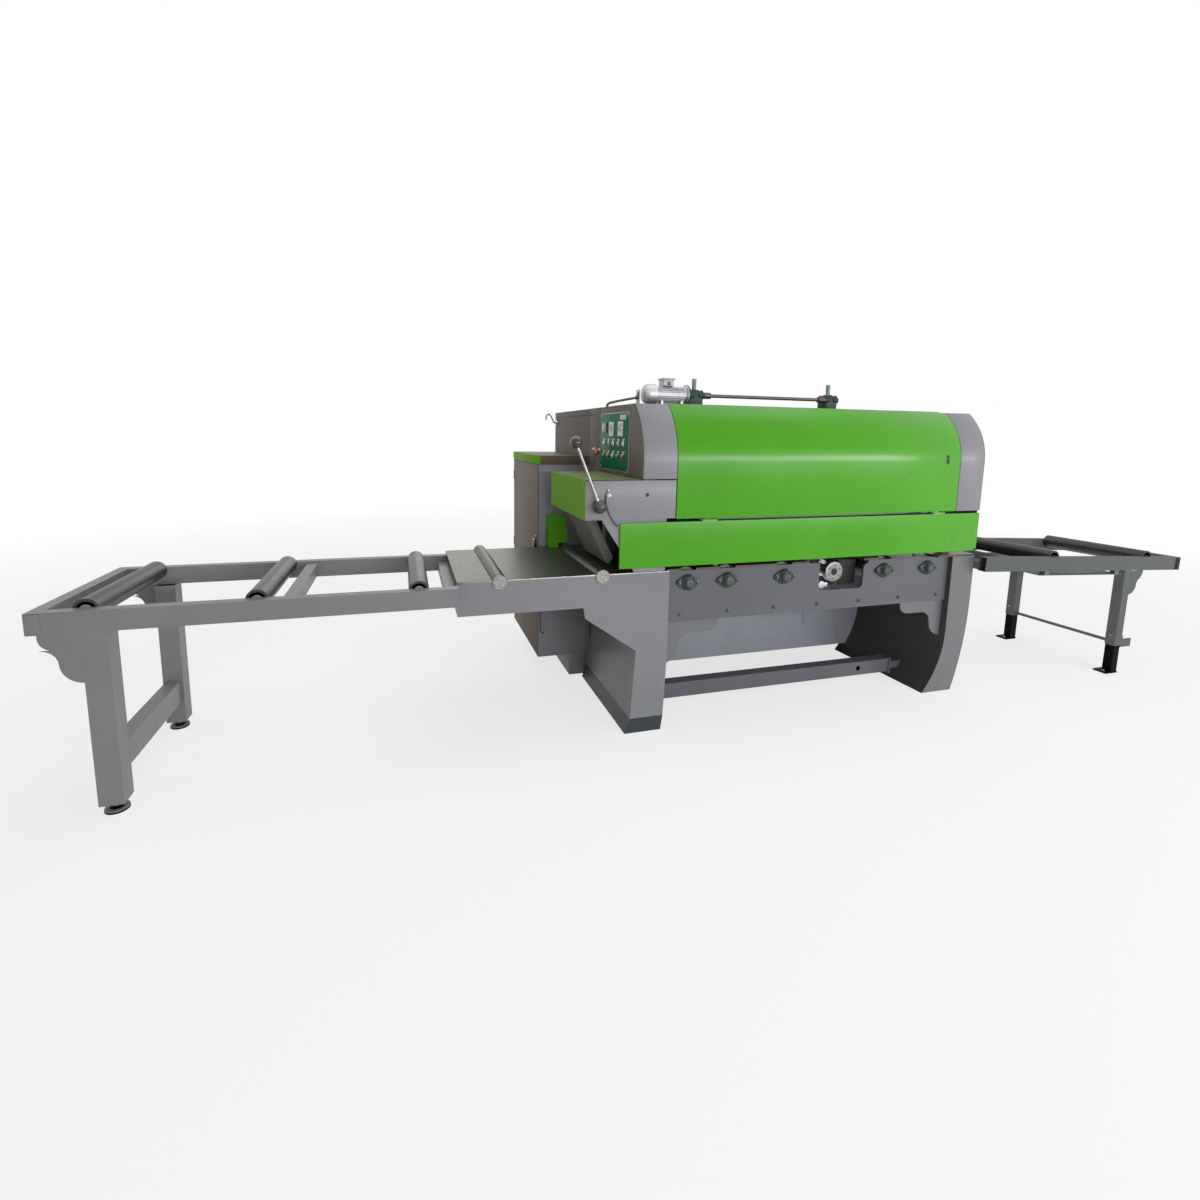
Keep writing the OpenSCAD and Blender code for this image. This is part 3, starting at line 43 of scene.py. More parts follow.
def V(x, y, z):
    return Vector(((x - MX) / 1000, (y - MY) / 1000, z / 1000))


# ------------------------------ materials
FACE_MIX = .9       # how far the painted light and shade of a face turned to the infeed end or upward covers the common colour
BLACK, WHITE = (0, 0, 0), (1, 1, 1)


def new_mat(name):
    m = bpy.data.materials.new(name)
    m.use_nodes = True
    return m, m.node_tree.nodes, m.node_tree.links, m.node_tree.nodes["Principled BSDF"]


def coords(ns, ls, scale=(1, 1, 1)):
    tc = ns.new("ShaderNodeTexCoord")
    mp = ns.new("ShaderNodeMapping")
    mp.inputs["Scale"].default_value = scale
    ls.new(tc.outputs["Object"], mp.inputs["Vector"])
    return mp.outputs["Vector"]


def noise(ns, ls, vec, scale, detail=4, rough=.55, dist=0):
    n = ns.new("ShaderNodeTexNoise")
    n.inputs["Scale"].default_value = scale
    n.inputs["Detail"].default_value = detail
    n.inputs["Roughness"].default_value = rough
    n.inputs["Distortion"].default_value = dist
    ls.new(vec, n.inputs["Vector"])
    return n.outputs["Fac"]


def ramp(ns, ls, fac, stops):
    r = ns.new("ShaderNodeValToRGB")
    while len(r.color_ramp.elements) < len(stops):
        r.color_ramp.elements.new(.5)
    for e, (p, c) in zip(r.color_ramp.elements, stops):
        e.position = p
        e.color = (*c, 1)
    ls.new(fac, r.inputs["Fac"])
    return r.outputs["Color"]


def mix(ns, ls, fac, a, b):
    n = ns.new("ShaderNodeMix")
    n.data_type = "RGBA"
    for sock, val in ((n.inputs["Factor"], fac), (n.inputs[6], a), (n.inputs[7], b)):
        if isinstance(val, (int, float)):
            sock.default_value = val
        elif isinstance(val, tuple):
            sock.default_value = (*val, 1)
        else:
            ls.new(val, sock)
    return n.outputs[2]


def math_node(ns, ls, op, a, b=0.0):
    n = ns.new("ShaderNodeMath")
    n.operation = op
    for sock, val in ((n.inputs[0], a), (n.inputs[1], b)):
        if isinstance(val, (int, float)):
            sock.default_value = val
        else:
            ls.new(val, sock)
    return n.outputs[0]


def bump(ns, ls, bsdf, parts):
    last = None
    for height, strength, dist in parts:
        b = ns.new("ShaderNodeBump")
        b.inputs["Strength"].default_value = strength
        b.inputs["Distance"].default_value = dist
        ls.new(height, b.inputs["Height"])
        if last is not None:
            ls.new(last, b.inputs["Normal"])
        last = b.outputs["Normal"]
    ls.new(last, bsdf.inputs["Normal"])


def scale_c(c, k):
    return tuple(min(1, v * k) for v in c)


def paint(name, rgb, rough=.38, coat=.25, dust_and_shade=.35, dust_and_shade_rgb=(.11, .1, .085), var=.1, band=None,
          wave=.35, floor=.55, side=None, top=None, near=None, spec=.3):
    """Sprayed enamel on sheet: mottled, dusty near the floor, with painted shade in corners and fine orange
    peel.

    side and top are colours for faces turned to the infeed end and upward: painted light and shade for how
    the light falls on them; band is a colour below a height and near one in front of a y, both given as
    (limit in metres, colour).
    """
    m, ns, ls, b = new_mat(name)
    v = coords(ns, ls)
    big = noise(ns, ls, v, 1.7, 5, .6, .4)
    col = ramp(ns, ls, big, [(.3, scale_c(rgb, 1 - var)), (.55, rgb), (.78, scale_c(rgb, 1 + var * .8))])
    fine = noise(ns, ls, v, 140, 3, .6)
    col = mix(ns, ls, ramp(ns, ls, fine, [(.35, BLACK), (.7, (.12, .12, .12))]), col,
              scale_c(rgb, .8))
    sep = ns.new("ShaderNodeSeparateXYZ")
    ls.new(v, sep.inputs[0])
    if side or top:
        geo = ns.new("ShaderNodeNewGeometry")
        sn = ns.new("ShaderNodeSeparateXYZ")
        ls.new(geo.outputs["Normal"], sn.inputs[0])
    # Painted light and shade: faces turned to the infeed end take their own colour for how the light falls on
    # them
    if side:
        f = math_node(ns, ls, "LESS_THAN", sn.outputs["X"], -.7)
        f = math_node(ns, ls, "MULTIPLY", f, FACE_MIX)
        col = mix(ns, ls, f, col, side)
    # Painted shade: upward faces take their own colour for how the light falls on them
    if top:
        f = math_node(ns, ls, "GREATER_THAN", sn.outputs["Z"], .9)
        f = math_node(ns, ls, "MULTIPLY", f, FACE_MIX)
        col = mix(ns, ls, f, col, top)
    if near:
        f = math_node(ns, ls, "LESS_THAN", sep.outputs["Y"], near[0])
        col = mix(ns, ls, f, col, near[1])
    if band:
        f = math_node(ns, ls, "LESS_THAN", sep.outputs["Z"], band[0])
        col = mix(ns, ls, f, col, band[1])
    # Painted shade in corners and creases from ambient occlusion, mixed with real dust towards the floor and
    # in specks; all of it takes the dust colour
    ao = ns.new("ShaderNodeAmbientOcclusion")
    ao.samples = 4
    ao.inputs["Distance"].default_value = .05
    corner_shade = math_node(ns, ls, "SUBTRACT", 1.0, ao.outputs["AO"])
    low = math_node(ns, ls, "SUBTRACT", floor, sep.outputs["Z"])
    low = math_node(ns, ls, "MULTIPLY", math_node(ns, ls, "MAXIMUM", low, 0.0), .9)
    smear = noise(ns, ls, coords(ns, ls, (1, 1, .35)), 6, 8, .68, 1.2)
    smear = ramp(ns, ls, smear, [(.46, BLACK), (.72, WHITE)])
    amount = math_node(ns, ls, "ADD", math_node(ns, ls, "MULTIPLY", corner_shade, .9), low)
    amount = math_node(ns, ls, "MULTIPLY", amount, smear)
    speck = noise(ns, ls, v, 38, 6, .75)
    speck = ramp(ns, ls, speck, [(.64, BLACK), (.7, (.5, .5, .5))])
    amount = math_node(ns, ls, "ADD", amount, math_node(ns, ls, "MULTIPLY", speck, .25))
    amount = math_node(ns, ls, "MINIMUM", math_node(ns, ls, "MULTIPLY", amount, dust_and_shade), .8)
    col = mix(ns, ls, amount, col, dust_and_shade_rgb)
    ls.new(col, b.inputs["Base Color"])
    r = math_node(ns, ls, "ADD", math_node(ns, ls, "MULTIPLY", big, .14), rough - .07)
    r = math_node(ns, ls, "ADD", r, math_node(ns, ls, "MULTIPLY", amount, .5))
    ls.new(r, b.inputs["Roughness"])
    b.inputs["Specular IOR Level"].default_value = spec
    b.inputs["Coat Weight"].default_value = coat * .5
    b.inputs["Coat Roughness"].default_value = .22
    bump(ns, ls, b, [(noise(ns, ls, v, 2.6, 1, .4), wave, .012), (noise(ns, ls, v, 420, 2), .06, .001)])
    return m


def metal(name, rgb, rough=.3, grain=(1, 1, 1), rust=.2, rust_rgb=(.16, .1, .06), metallic=1.0,
          bumpy=.12, scale=160, var=.25):
    """Bare metal with drawn or turned grain, dull stains and traces of rust."""
    m, ns, ls, b = new_mat(name)
    v = coords(ns, ls)
    g = coords(ns, ls, grain)
    gr = noise(ns, ls, g, scale, 6, .7)
    cloud = noise(ns, ls, v, 7, 6, .65, .8)
    col = ramp(ns, ls, cloud, [(.28, scale_c(rgb, 1 - var)), (.6, rgb), (.85, scale_c(rgb, 1.12))])
    col = mix(ns, ls, ramp(ns, ls, gr, [(.3, (.35, .35, .35)), (.65, BLACK)]), col, scale_c(rgb, .62))
    spots = noise(ns, ls, v, 26, 8, .75, .6)
    f = ramp(ns, ls, spots, [(.56, BLACK), (.74, WHITE)])
    f = math_node(ns, ls, "MULTIPLY", f, rust)
    col = mix(ns, ls, f, col, rust_rgb)
    ls.new(col, b.inputs["Base Color"])
    b.inputs["Metallic"].default_value = metallic
    r = math_node(ns, ls, "ADD", math_node(ns, ls, "MULTIPLY", gr, .22), rough - .1)
    r = math_node(ns, ls, "ADD", r, math_node(ns, ls, "MULTIPLY", f, .4))
    ls.new(r, b.inputs["Roughness"])
    bump(ns, ls, b, [(gr, bumpy, .0006), (cloud, .08, .002)])
    return m


def cast(name, rgb, rough=.5, metallic=0.0, oily=.25, scale=220):
    """Painted or raw casting: sand-grained, with rubbed high spots."""
    m, ns, ls, b = new_mat(name)
    v = coords(ns, ls)
    sand = noise(ns, ls, v, scale, 5, .7)
    cloud = noise(ns, ls, v, 16, 6, .65, .5)
    col = ramp(ns, ls, cloud, [(.3, scale_c(rgb, .65)), (.55, rgb), (.8, scale_c(rgb, 1.45))])
    col = mix(ns, ls, ramp(ns, ls, sand, [(.6, BLACK), (.75, (.5, .5, .5))]), col,
              scale_c(rgb, 1.9))
    ls.new(col, b.inputs["Base Color"])
    b.inputs["Metallic"].default_value = metallic
    r = math_node(ns, ls, "ADD", math_node(ns, ls, "MULTIPLY", cloud, oily), rough - oily / 2)
    ls.new(r, b.inputs["Roughness"])
    b.inputs["Specular IOR Level"].default_value = .25
    bump(ns, ls, b, [(sand, .35, .0012), (cloud, .15, .003)])
    return m


def plastic(name, rgb, rough=.3, coat=.3, tex=.05):
    """Moulded plastic with a faint texture and finger marks."""
    m, ns, ls, b = new_mat(name)
    v = coords(ns, ls)
    marks = noise(ns, ls, v, 40, 5, .6, .5)
    col = ramp(ns, ls, marks, [(.3, scale_c(rgb, .86)), (.7, scale_c(rgb, 1.06))])
    ls.new(col, b.inputs["Base Color"])
    r = math_node(ns, ls, "ADD", math_node(ns, ls, "MULTIPLY", marks, .2), rough - .1)
    ls.new(r, b.inputs["Roughness"])
    b.inputs["Coat Weight"].default_value = coat
    bump(ns, ls, b, [(noise(ns, ls, v, 700, 2), tex, .0006)])
    return m


LIME = (.066, .345, .003)
GREY = (.235, .238, .258)
# SHADE is painted shade for faces turned to the infeed end, a brown-grey darker than the enamel
SHADE = (.14, .112, .09)
M = {
    "lime": paint("lime_enamel", LIME, .27, .42, .14, (.06, .1, .03), .07, wave=.5, spec=.22),
    # lime_side: faces turned to the infeed end take a colour of painted light and shade, upward faces a
    # darker olive of painted shade
    "lime_side": paint("lime_enamel_side", (.1, .41, .02), .5, 0, .3, (.07, .09, .03), .1, wave=.3,
                       side=(.15, .38, .006), top=(.2, .21, .11), spec=.03),
    "emerald": paint("emerald_enamel", (0, .15, .062), .4, .05, .1, (.02, .05, .04), .06, wave=.1, spec=.1),
    # grey and plate take SHADE on faces turned to the infeed end: painted shade
    "grey": paint("grey_enamel", GREY, .4, .25, .45, var=.07, side=SHADE),
    "plate": paint("grey_enamel_plate", (.125, .13, .148), .45, .2, .5, var=.09, side=SHADE),
    # end_face is painted shade as a whole: a dark brown-grey for the infeed end wall, which faces away from
    # the light
    "end_face": paint("grey_enamel_end_painted_shade", (.2, .178, .155), .6, 0, .4, var=.08, spec=.08),
    # grey_ped: faces turned to the infeed end and upward faces take painted shade
    "grey_ped": paint("grey_enamel_pedestal", GREY, .4, .25, .5, var=.07,
                      band=(.079, (.03, .042, .047)), side=(.16, .15, .15), top=(.09, .09, .095)),
    # grey_out: faces turned to the infeed end take a near black painted shade
    "grey_out": paint("grey_enamel_outfeed", (.175, .18, .19), .42, .2, .6, var=.09,
                      side=(.055, .056, .045)),
    # grey_table: faces turned to the infeed end take painted shade
    "grey_table": paint("grey_enamel_table", (.225, .232, .242), .45, .15, .6, var=.12,
                        side=(.15, .145, .145), floor=.5),
    # shade is painted shade as a whole: dark brown for the cabinet door and the cap beside the lime strip
    "shade": paint("grey_enamel_painted_shade", (.15, .117, .088), .5, 0, .5, var=.1, spec=.08),
    # dim is painted shade as a whole: the rear bearing plate dark as it looks in shade through the window
    "dim": paint("grey_enamel_dim_painted_shade", (.12, .12, .11), .55, .1, .5, var=.1),
    # apron is painted light: lightened so the shaded apron and brackets under the bed look lit; the front
    # brackets, in front of y -0.7 m, keep a darker colour
    "apron": paint("apron_enamel_painted_light", (.36, .375, .43), .45, .15, .4, var=.08, near=(-.7, (.17, .175, .19))),
    # grey_fall: faces turned to the infeed end take painted light, upward faces painted shade
    "grey_fall": paint("grey_enamel_fall", (.11, .12, .117), .5, .05, .5, var=.1, side=(.2, .195, .195),
                       top=(.06, .065, .064), spec=.12),
    "tray": paint("grey_enamel_tray", (.17, .185, .18), .55, 0, .5, var=.1, spec=.1),
    "finger": paint("grey_enamel_fingers", (.3, .28, .25), .5, 0, .5, var=.12, spec=.2),
    # head: faces turned to the infeed end take painted light, so the shaded slanted plate and inner frame
    # look lit
    "head": paint("grey_enamel_head", GREY, .4, .25, .45, var=.07, side=(.42, .4, .36)),
    "dark_green": cast("green_casting", (.019, .06, .039), .42, oily=.3),
    "iron": cast("raw_iron", (.09, .1, .1), .42, .75, .3, 260),
    "bearing": cast("bearing_casting", (.06, .078, .07), .42, .2, .3),
    "blue_grey": cast("motor_casting", (.16, .2, .215), .45),
    "steel_x": metal("drawn_steel_along", (.36, .35, .35), .34, (.06, 1, 1), .3),
    "roller": metal("roller_steel", (.08, .077, .073), .38, (1, .05, 1), .4, (.1, .08, .065), metallic=.85),
    "feed": metal("feed_roller_steel", (.2, .2, .2), .36, (1, .05, 1), .25),
    "table": metal("ground_table_steel", (.105, .106, .077), .38, (.08, 1, 1), .45, (.09, .07, .045),
                   scale=90, bumpy=.2, metallic=.8),
    "bright": metal("bright_steel", (.62, .62, .64), .2, (1, 1, .2), .06),
    "blade": metal("blade_steel", (.6, .6, .61), .24, (1, 1, 1), .12, scale=60),
    "chrome": metal("chromed_steel", (.78, .78, .8), .1, (1, 1, 1), .02, bumpy=.02, var=.08),
    "alu": metal("cast_aluminium", (.56, .57, .585), .5, (1, 1, 1), .1, bumpy=.18, scale=300),
    "zinc": metal("zinc_plate", (.34, .34, .325), .36, (1, 1, 1), .15, scale=60),
    "shaft": metal("shaft_steel", (.12, .118, .115), .4, (1, 1, 1), .3, (.1, .08, .06), scale=60),
    "dull": metal("dull_steel", (.11, .115, .11), .45, (1, 1, 1), .3, (.07, .055, .045), scale=80),
    "ring": metal("ring_nut_steel", (.3, .3, .29), .42, (1, 1, 1), .3, (.12, .09, .07), scale=80),
    "black": plastic("black_moulding", (.012, .012, .012), .25, .4),
    "black_paint": paint("black_enamel", (.003, .0035, .0033), .5, 0, .15, (.015, .014, .012), .2, spec=.05),
    # Dark seam lines are the joints' own colour; the same plastic also stands as painted shade in holes,
    # under the guard and in the window
    "seam": plastic("dark_seam_and_painted_shade", (.012, .013, .012), .7, 0),
    "rubber": plastic("rubber", (.012, .012, .012), .7, 0, .2),
    "red": plastic("red_moulding", (.42, .012, .014), .3, .4),
    "yellow": plastic("yellow_moulding", (.6, .4, .02), .4, .2),
    "green_cap": plastic("green_cap", (.02, .3, .06), .3, .4),
    "white_cap": plastic("white_cap", (.72, .72, .68), .3, .4),
    "amber_cap": plastic("amber_cap", (.6, .25, .02), .3, .4),
    "dial": plastic("dial_face", (.76, .76, .73), .4, .5, .02),
    "lcd": plastic("display_glass", (.012, .03, .02), .12, .8, .01),
    "pale": paint("pale_enamel", (.62, .62, .6), .4, .2, .2, var=.06),
}


# ------------------------------ mesh pieces
class Piece:
    """A mesh built up from bevelled solids in machine millimetres, then ridden on a body.

    Every solid takes b, the width of its bevel, and mat, a key of M where it differs from the piece.
    """

    def __init__(self, name, body, mat, *replaced):
        self.name, self.body, self.mat, self.replaced = name, body, mat, replaced
        self.bm = bmesh.new()
        self.mats = [mat]

    def _bevel(self, faces, width, angle=.5):
        if width <= 0:
            return
        edges = {e for f in faces for e in f.edges}
        edges = [e for e in edges if e.is_manifold and e.calc_face_angle(0) > angle]
        if edges:
            bmesh.ops.bevel(self.bm, geom=edges, offset=width / 1000, segments=2,
                            affect="EDGES", profile=.5, clamp_overlap=True)

    def _paint(self, before, mat):
        if mat and mat != self.mats[0]:
            if mat not in self.mats:
                self.mats.append(mat)
            k = self.mats.index(mat)
            for f in self.bm.faces:
                if f not in before:
                    f.material_index = k

    def box(self, x0, x1, y0, y1, z0, z1, b=1.2, mat=None):
        before = set(self.bm.faces) if mat else None
        p, q = V(min(x0, x1), min(y0, y1), min(z0, z1)), V(max(x0, x1), max(y0, y1), max(z0, z1))
        r = bmesh.ops.create_cube(self.bm, size=1)
        for v in r["verts"]:
            v.co = Vector([p[i] if v.co[i] < 0 else q[i] for i in range(3)])
        faces = {f for v in r["verts"] for f in v.link_faces}
        small = min(abs(x1 - x0), abs(y1 - y0), abs(z1 - z0))
        self._bevel(faces, min(b, small * .45))
        self._paint(before, mat)

    def cyl(self, axis, x, y, z, r, a0, a1, b=1.0, n=40, mat=None):
        """A cylinder along axis from a0 to a1; x, y, z give the centre in the other two directions."""
        before = set(self.bm.faces) if mat else None
        res = bmesh.ops.create_cone(self.bm, cap_ends=True, segments=n, radius1=r / 1000,
                                    radius2=r / 1000, depth=abs(a1 - a0) / 1000)
        rot = {"x": Matrix.Rotation(math.pi / 2, 4, "Y"), "y": Matrix.Rotation(-math.pi / 2, 4, "X"),
               "z": Matrix.Identity(4)}[axis]
        mid = (a0 + a1) / 2
        c = V(mid if axis == "x" else x, mid if axis == "y" else y, mid if axis == "z" else z)
        bmesh.ops.transform(self.bm, verts=res["verts"], matrix=Matrix.Translation(c) @ rot)
        faces = {f for v in res["verts"] for f in v.link_faces}
        self._bevel(faces, min(b, r * .4, abs(a1 - a0) * .45), .9)
        self._paint(before, mat)

    def prism(self, axis, pts, a0, a1, b=1.0, mat=None):
        """An outline (two machine coordinates per point) made solid along axis from a0 to a1."""
        before = set(self.bm.faces) if mat else None

        def place(p, a):
            if axis == "y":
                return V(p[0], a, p[1])
            if axis == "x":
                return V(a, p[0], p[1])
            return V(p[0], p[1], a)
        low = [self.bm.verts.new(place(p, a0)) for p in pts]
        high = [self.bm.verts.new(place(p, a1)) for p in pts]
        faces = [self.bm.faces.new(low[::-1]), self.bm.faces.new(high)]
        n = len(pts)
        for i in range(n):
            faces.append(self.bm.faces.new([low[i], low[(i + 1) % n], high[(i + 1) % n], high[i]]))
        bmesh.ops.recalc_face_normals(self.bm, faces=faces)
        self._bevel(faces, b)
        self._paint(before, mat)

    def lathe(self, axis, x, y, z, profile, n=40, mat=None):
        """A turned form: profile is (distance along axis, radius) from end to end, or closed for a ring."""
        before = set(self.bm.faces) if mat else None
        closed = profile[0] == profile[-1]
        rings = []
        for a, r in profile[:-1] if closed else profile:
            ring = []
            for i in range(n):
                t = 2 * math.pi * i / n
                u, w = r * math.cos(t), r * math.sin(t)
                ring.append(self.bm.verts.new({"x": V(x + a, y + u, z + w), "y": V(x + u, y + a, z + w),
                                               "z": V(x + u, y + w, z + a)}[axis]))
            rings.append(ring)
        faces = []
        for p, q in zip(rings, rings[1:] + rings[:closed]):
            for i in range(n):
                faces.append(self.bm.faces.new([p[i], p[(i + 1) % n], q[(i + 1) % n], q[i]]))
        if not closed:
            faces.append(self.bm.faces.new(rings[0][::-1]))
            faces.append(self.bm.faces.new(rings[-1]))
        bmesh.ops.recalc_face_normals(self.bm, faces=faces)
        self._paint(before, mat)

    def tube(self, pts, r, n=14, mat=None):
        """A round bar or pipe swept through points, with rounded corners."""
        before = set(self.bm.faces) if mat else None
        knots = [V(*p) for p in pts]
        path = [knots[0]]
        for a, c, d in zip(knots, knots[1:], knots[2:]):
            k = min((c - a).length, (d - c).length) * .42
            s, e = c + (a - c).normalized() * k, c + (d - c).normalized() * k
            for j in range(7):
                t = j / 6
                path.append(s * (1 - t) ** 2 + c * 2 * t * (1 - t) + e * t * t)
        path.append(knots[-1])
        up = Vector((.13, .31, .94)).normalized()
        rings = []
        for i, p in enumerate(path):
            d = (path[min(i + 1, len(path) - 1)] - path[max(i - 1, 0)]).normalized()
            u = d.cross(up).normalized()
            up = u.cross(d)
            rings.append([self.bm.verts.new(p + (u * math.cos(t) + up * math.sin(t)) * r / 1000)
                          for t in (2 * math.pi * k / n for k in range(n))])
        faces = []
        for p, q in zip(rings, rings[1:]):
            for i in range(n):
                faces.append(self.bm.faces.new([p[i], p[(i + 1) % n], q[(i + 1) % n], q[i]]))
        faces += [self.bm.faces.new(rings[0][::-1]), self.bm.faces.new(rings[-1])]
        bmesh.ops.recalc_face_normals(self.bm, faces=faces)
        self._paint(before, mat)

    def hexbolt(self, axis, x, y, z, r, a, sign, h=8, mat=None):
        """A hexagon head of height h on its washer, standing out of a face at a towards sign."""
        self.cyl(axis, x, y, z, r * 1.45, a, a + sign * 1.8, .4, 24, mat)
        self.cyl(axis, x, y, z, r * 1.08, a + sign * 1.8, a + sign * (1.8 + h), 1.0, 6, mat)

    def done(self):
        """Turn the piece into an object, with its materials and body, hiding the node that it replaces."""
        mesh = bpy.data.meshes.new(self.name)
        self.bm.to_mesh(mesh)
        self.bm.free()
        for p in mesh.polygons:
            p.use_smooth = True
        mesh.set_sharp_from_angle(angle=.6)
        ob = bpy.data.objects.new(self.name, mesh)
        bpy.context.scene.collection.objects.link(ob)
        for m in self.mats:
            mesh.materials.append(M[m])
        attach(ob, self.body)
        if self.replaced:
            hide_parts(*self.replaced)


def arc(cx, cy, r, a0, a1, n):
    """Points of an arc from a0 to a1 degrees, in n steps."""
    return [(cx + r * math.cos(math.radians(a0 + (a1 - a0) * i / n)),
             cy + r * math.sin(math.radians(a0 + (a1 - a0) * i / n))) for i in range(n + 1)]


def rounded(x0, x1, z0, z1, r, n=6):
    """The outline of a rectangle with rounded corners."""
    return (arc(x1 - r, z0 + r, r, -90, 0, n) + arc(x1 - r, z1 - r, r, 0, 90, n)
            + arc(x0 + r, z1 - r, r, 90, 180, n) + arc(x0 + r, z0 + r, r, 180, 270, n))


# Shape of the curved covers: front face, arc, lip on the top; sheet thickness and gap between sheets
HOOD_Y, TOP, CURVE_Z, R = -78, 1680, 1400, 361
SHEET, GAP = 3, .2
UNDER = TOP - SHEET - GAP
A = math.degrees(math.asin((TOP - CURVE_Z) / R))
EDGE_Y = HOOD_Y + R - math.sqrt(R * R - (TOP - CURVE_Z) ** 2)
LIP = EDGE_Y + 45
OUTER = arc(HOOD_Y + R, CURVE_Z, R, 180, 180 - A, 44)


def shell(z0, fold=0):
    """Outline of a cover's sheet from its lower edge at z0, with a fold there of that width."""
    ri = R - SHEET
    ai = math.degrees(math.asin((TOP - CURVE_Z - SHEET) / ri))
    front = [(HOOD_Y, z0)]
    back = [(HOOD_Y + SHEET, z0)]
    if fold:
        front = [(HOOD_Y + fold, z0), (HOOD_Y + 1.5, z0), (HOOD_Y, z0 + 1.5)]
        back = [(HOOD_Y + SHEET, z0 + SHEET), (HOOD_Y + fold, z0 + SHEET)]
    return (front + OUTER + [(LIP, TOP), (LIP, TOP - SHEET)]
            + arc(HOOD_Y + R, CURVE_Z, ri, 180 - ai, 180, 44) + back)


# ------------------------------ CAD nodes with better finishes, many of them with painted light and shade
CAD = {
    "infeed_pedestal": "grey_ped", "outfeed_pedestal": "grey_out", "front_bearing_plate": "plate",
    "rear_bearing_plate": "dim", "corner_brackets": "apron", "tie_beam": "plate",
    "infeed_table": "table", "bed_plates": "table", "upper_frame": "head",
    "infeed_covers": "lime_side", "lift_jacks": "dark_green", "main_motor": "blue_grey",
    "drive_belts": "rubber", "feed_drive": "dark_green", "arbor_housing": "iron",
    "infeed_roller_table": "grey_table", "outfeed_roller_table": "grey_fall",
    "material_tray": "tray", "kickback_fingers": "finger", "press_beam": "apron",
    "saw_arbor": "bright", "saw_blades": "blade", "motor_pulley": "iron", "lift_shaft": "shaft",
    "front_leg_foot": "black_paint", "rear_leg_foot": "black_paint", "rear_housing": "grey",
    "fasteners": "iron", "infeed_head": "head",
}
for i in range(1, 5):
    CAD["pressure_roller_%d" % i] = "feed"
for i in range(1, 6):
    CAD["feed_roller_%d" % i] = "feed"
for i in range(1, 4):
    CAD["table_roller_%d" % i] = "roller"
for i in (1, 2):
    CAD["infeed_roller_%d" % i] = "roller"
    CAD["outfeed_roller_%d" % i] = "roller"
for name, mat in CAD.items():
    ob = nodes[name]
    ob.data.materials.clear()
    ob.data.materials.append(M[mat])

# ------------------------------ hood, cowls and end walls
IN_X, OUT_X, COWL = -190, 1910, 175     # outer faces of the end walls, width of a cowl
HEAD_TOP, HOOD_FOOT = 1320, 1125        # lower edges of the infeed cowl and of the other covers
WALL_Y, REAR_Y = 785, 1656.8            # where the housing's deeper part starts, and its rear
HX0, HX1 = IN_X + COWL + SHEET, OUT_X - COWL - SHEET
H = Piece("hood_skin", "hood", "lime", "hood")
H.prism("x", shell(HOOD_FOOT, fold=16), HX0, HX1, .8)
knuckle = (HX1 - HX0) / 12
for i in range(0, 12, 2):
    H.cyl("x", 0, LIP + 3, TOP + 3, 4, HX0 + i * knuckle + 1.5, HX0 + (i + 1) * knuckle - 1.5, .6, 20)
    H.box(HX0 + i * knuckle + 1.5, HX0 + (i + 1) * knuckle - 1.5, LIP - 27, LIP + 3, TOP, TOP + 1.5, .5)
    for k in (.2, .5, .8):
        H.cyl("z", HX0 + (i + k) * knuckle, LIP - 15, 0, 3.6, TOP + 1.2, TOP + 3.4, 1, 16)
H.done()
P = Piece("cowl_in", "base", "grey", "end_cowls")
P.prism("x", shell(HEAD_TOP), IN_X + SHEET + GAP, IN_X + COWL, .8)
P.done()
P = Piece("cowl_out", "base", "grey")
P.prism("x", shell(HOOD_FOOT), OUT_X - COWL, OUT_X - SHEET - GAP, .8)
P.done()
# The infeed end wall takes end_face, painted shade
for side, mat, x0, z0 in (("in", "end_face", IN_X, HEAD_TOP), ("out", "grey", OUT_X - SHEET, HOOD_FOOT)):
    x1 = x0 + SHEET
    P = Piece("end_wall_" + side, "base", mat)
    P.prism("x", [(HOOD_Y, z0)] + OUTER + [(LIP, TOP), (LIP, z0)], x0, x1, .6)
    if side == "in":
        P.box(x0, x1, LIP, 584, HEAD_TOP, UNDER, .5)
        P.box(x0, x1, 584, WALL_Y, 1130, UNDER, .5)
        P.box(x0, x1, 748, WALL_Y, 150, 620, .5)
        P.box(x0, x1, 786, 1600, 30, 149.8, .5)
    else:
        P.box(x0, x1, LIP, WALL_Y, HOOD_FOOT, UNDER, .5)
        P.box(x0, x1, HOOD_Y + 14, 780, 1096, 1124.6, .5)
    P.box(x0, x1, WALL_Y + GAP, REAR_Y, 150, UNDER, .6)
    P.done()
# Beading where the cowls meet the end walls
P = Piece("cowl_beads", "base", "grey")
for x, z in ((IN_X + 3.1, HEAD_TOP + 2), (OUT_X - 3.1, HOOD_FOOT + 2)):
    bead = arc(HOOD_Y + R, CURVE_Z, R - .8, 180, 180 - A, 26)
    P.tube([(x, HOOD_Y + 1.6, z)] + [(x, *p) for p in bead] + [(x, LIP, TOP - 1)], 1.6, 8)
P.done()

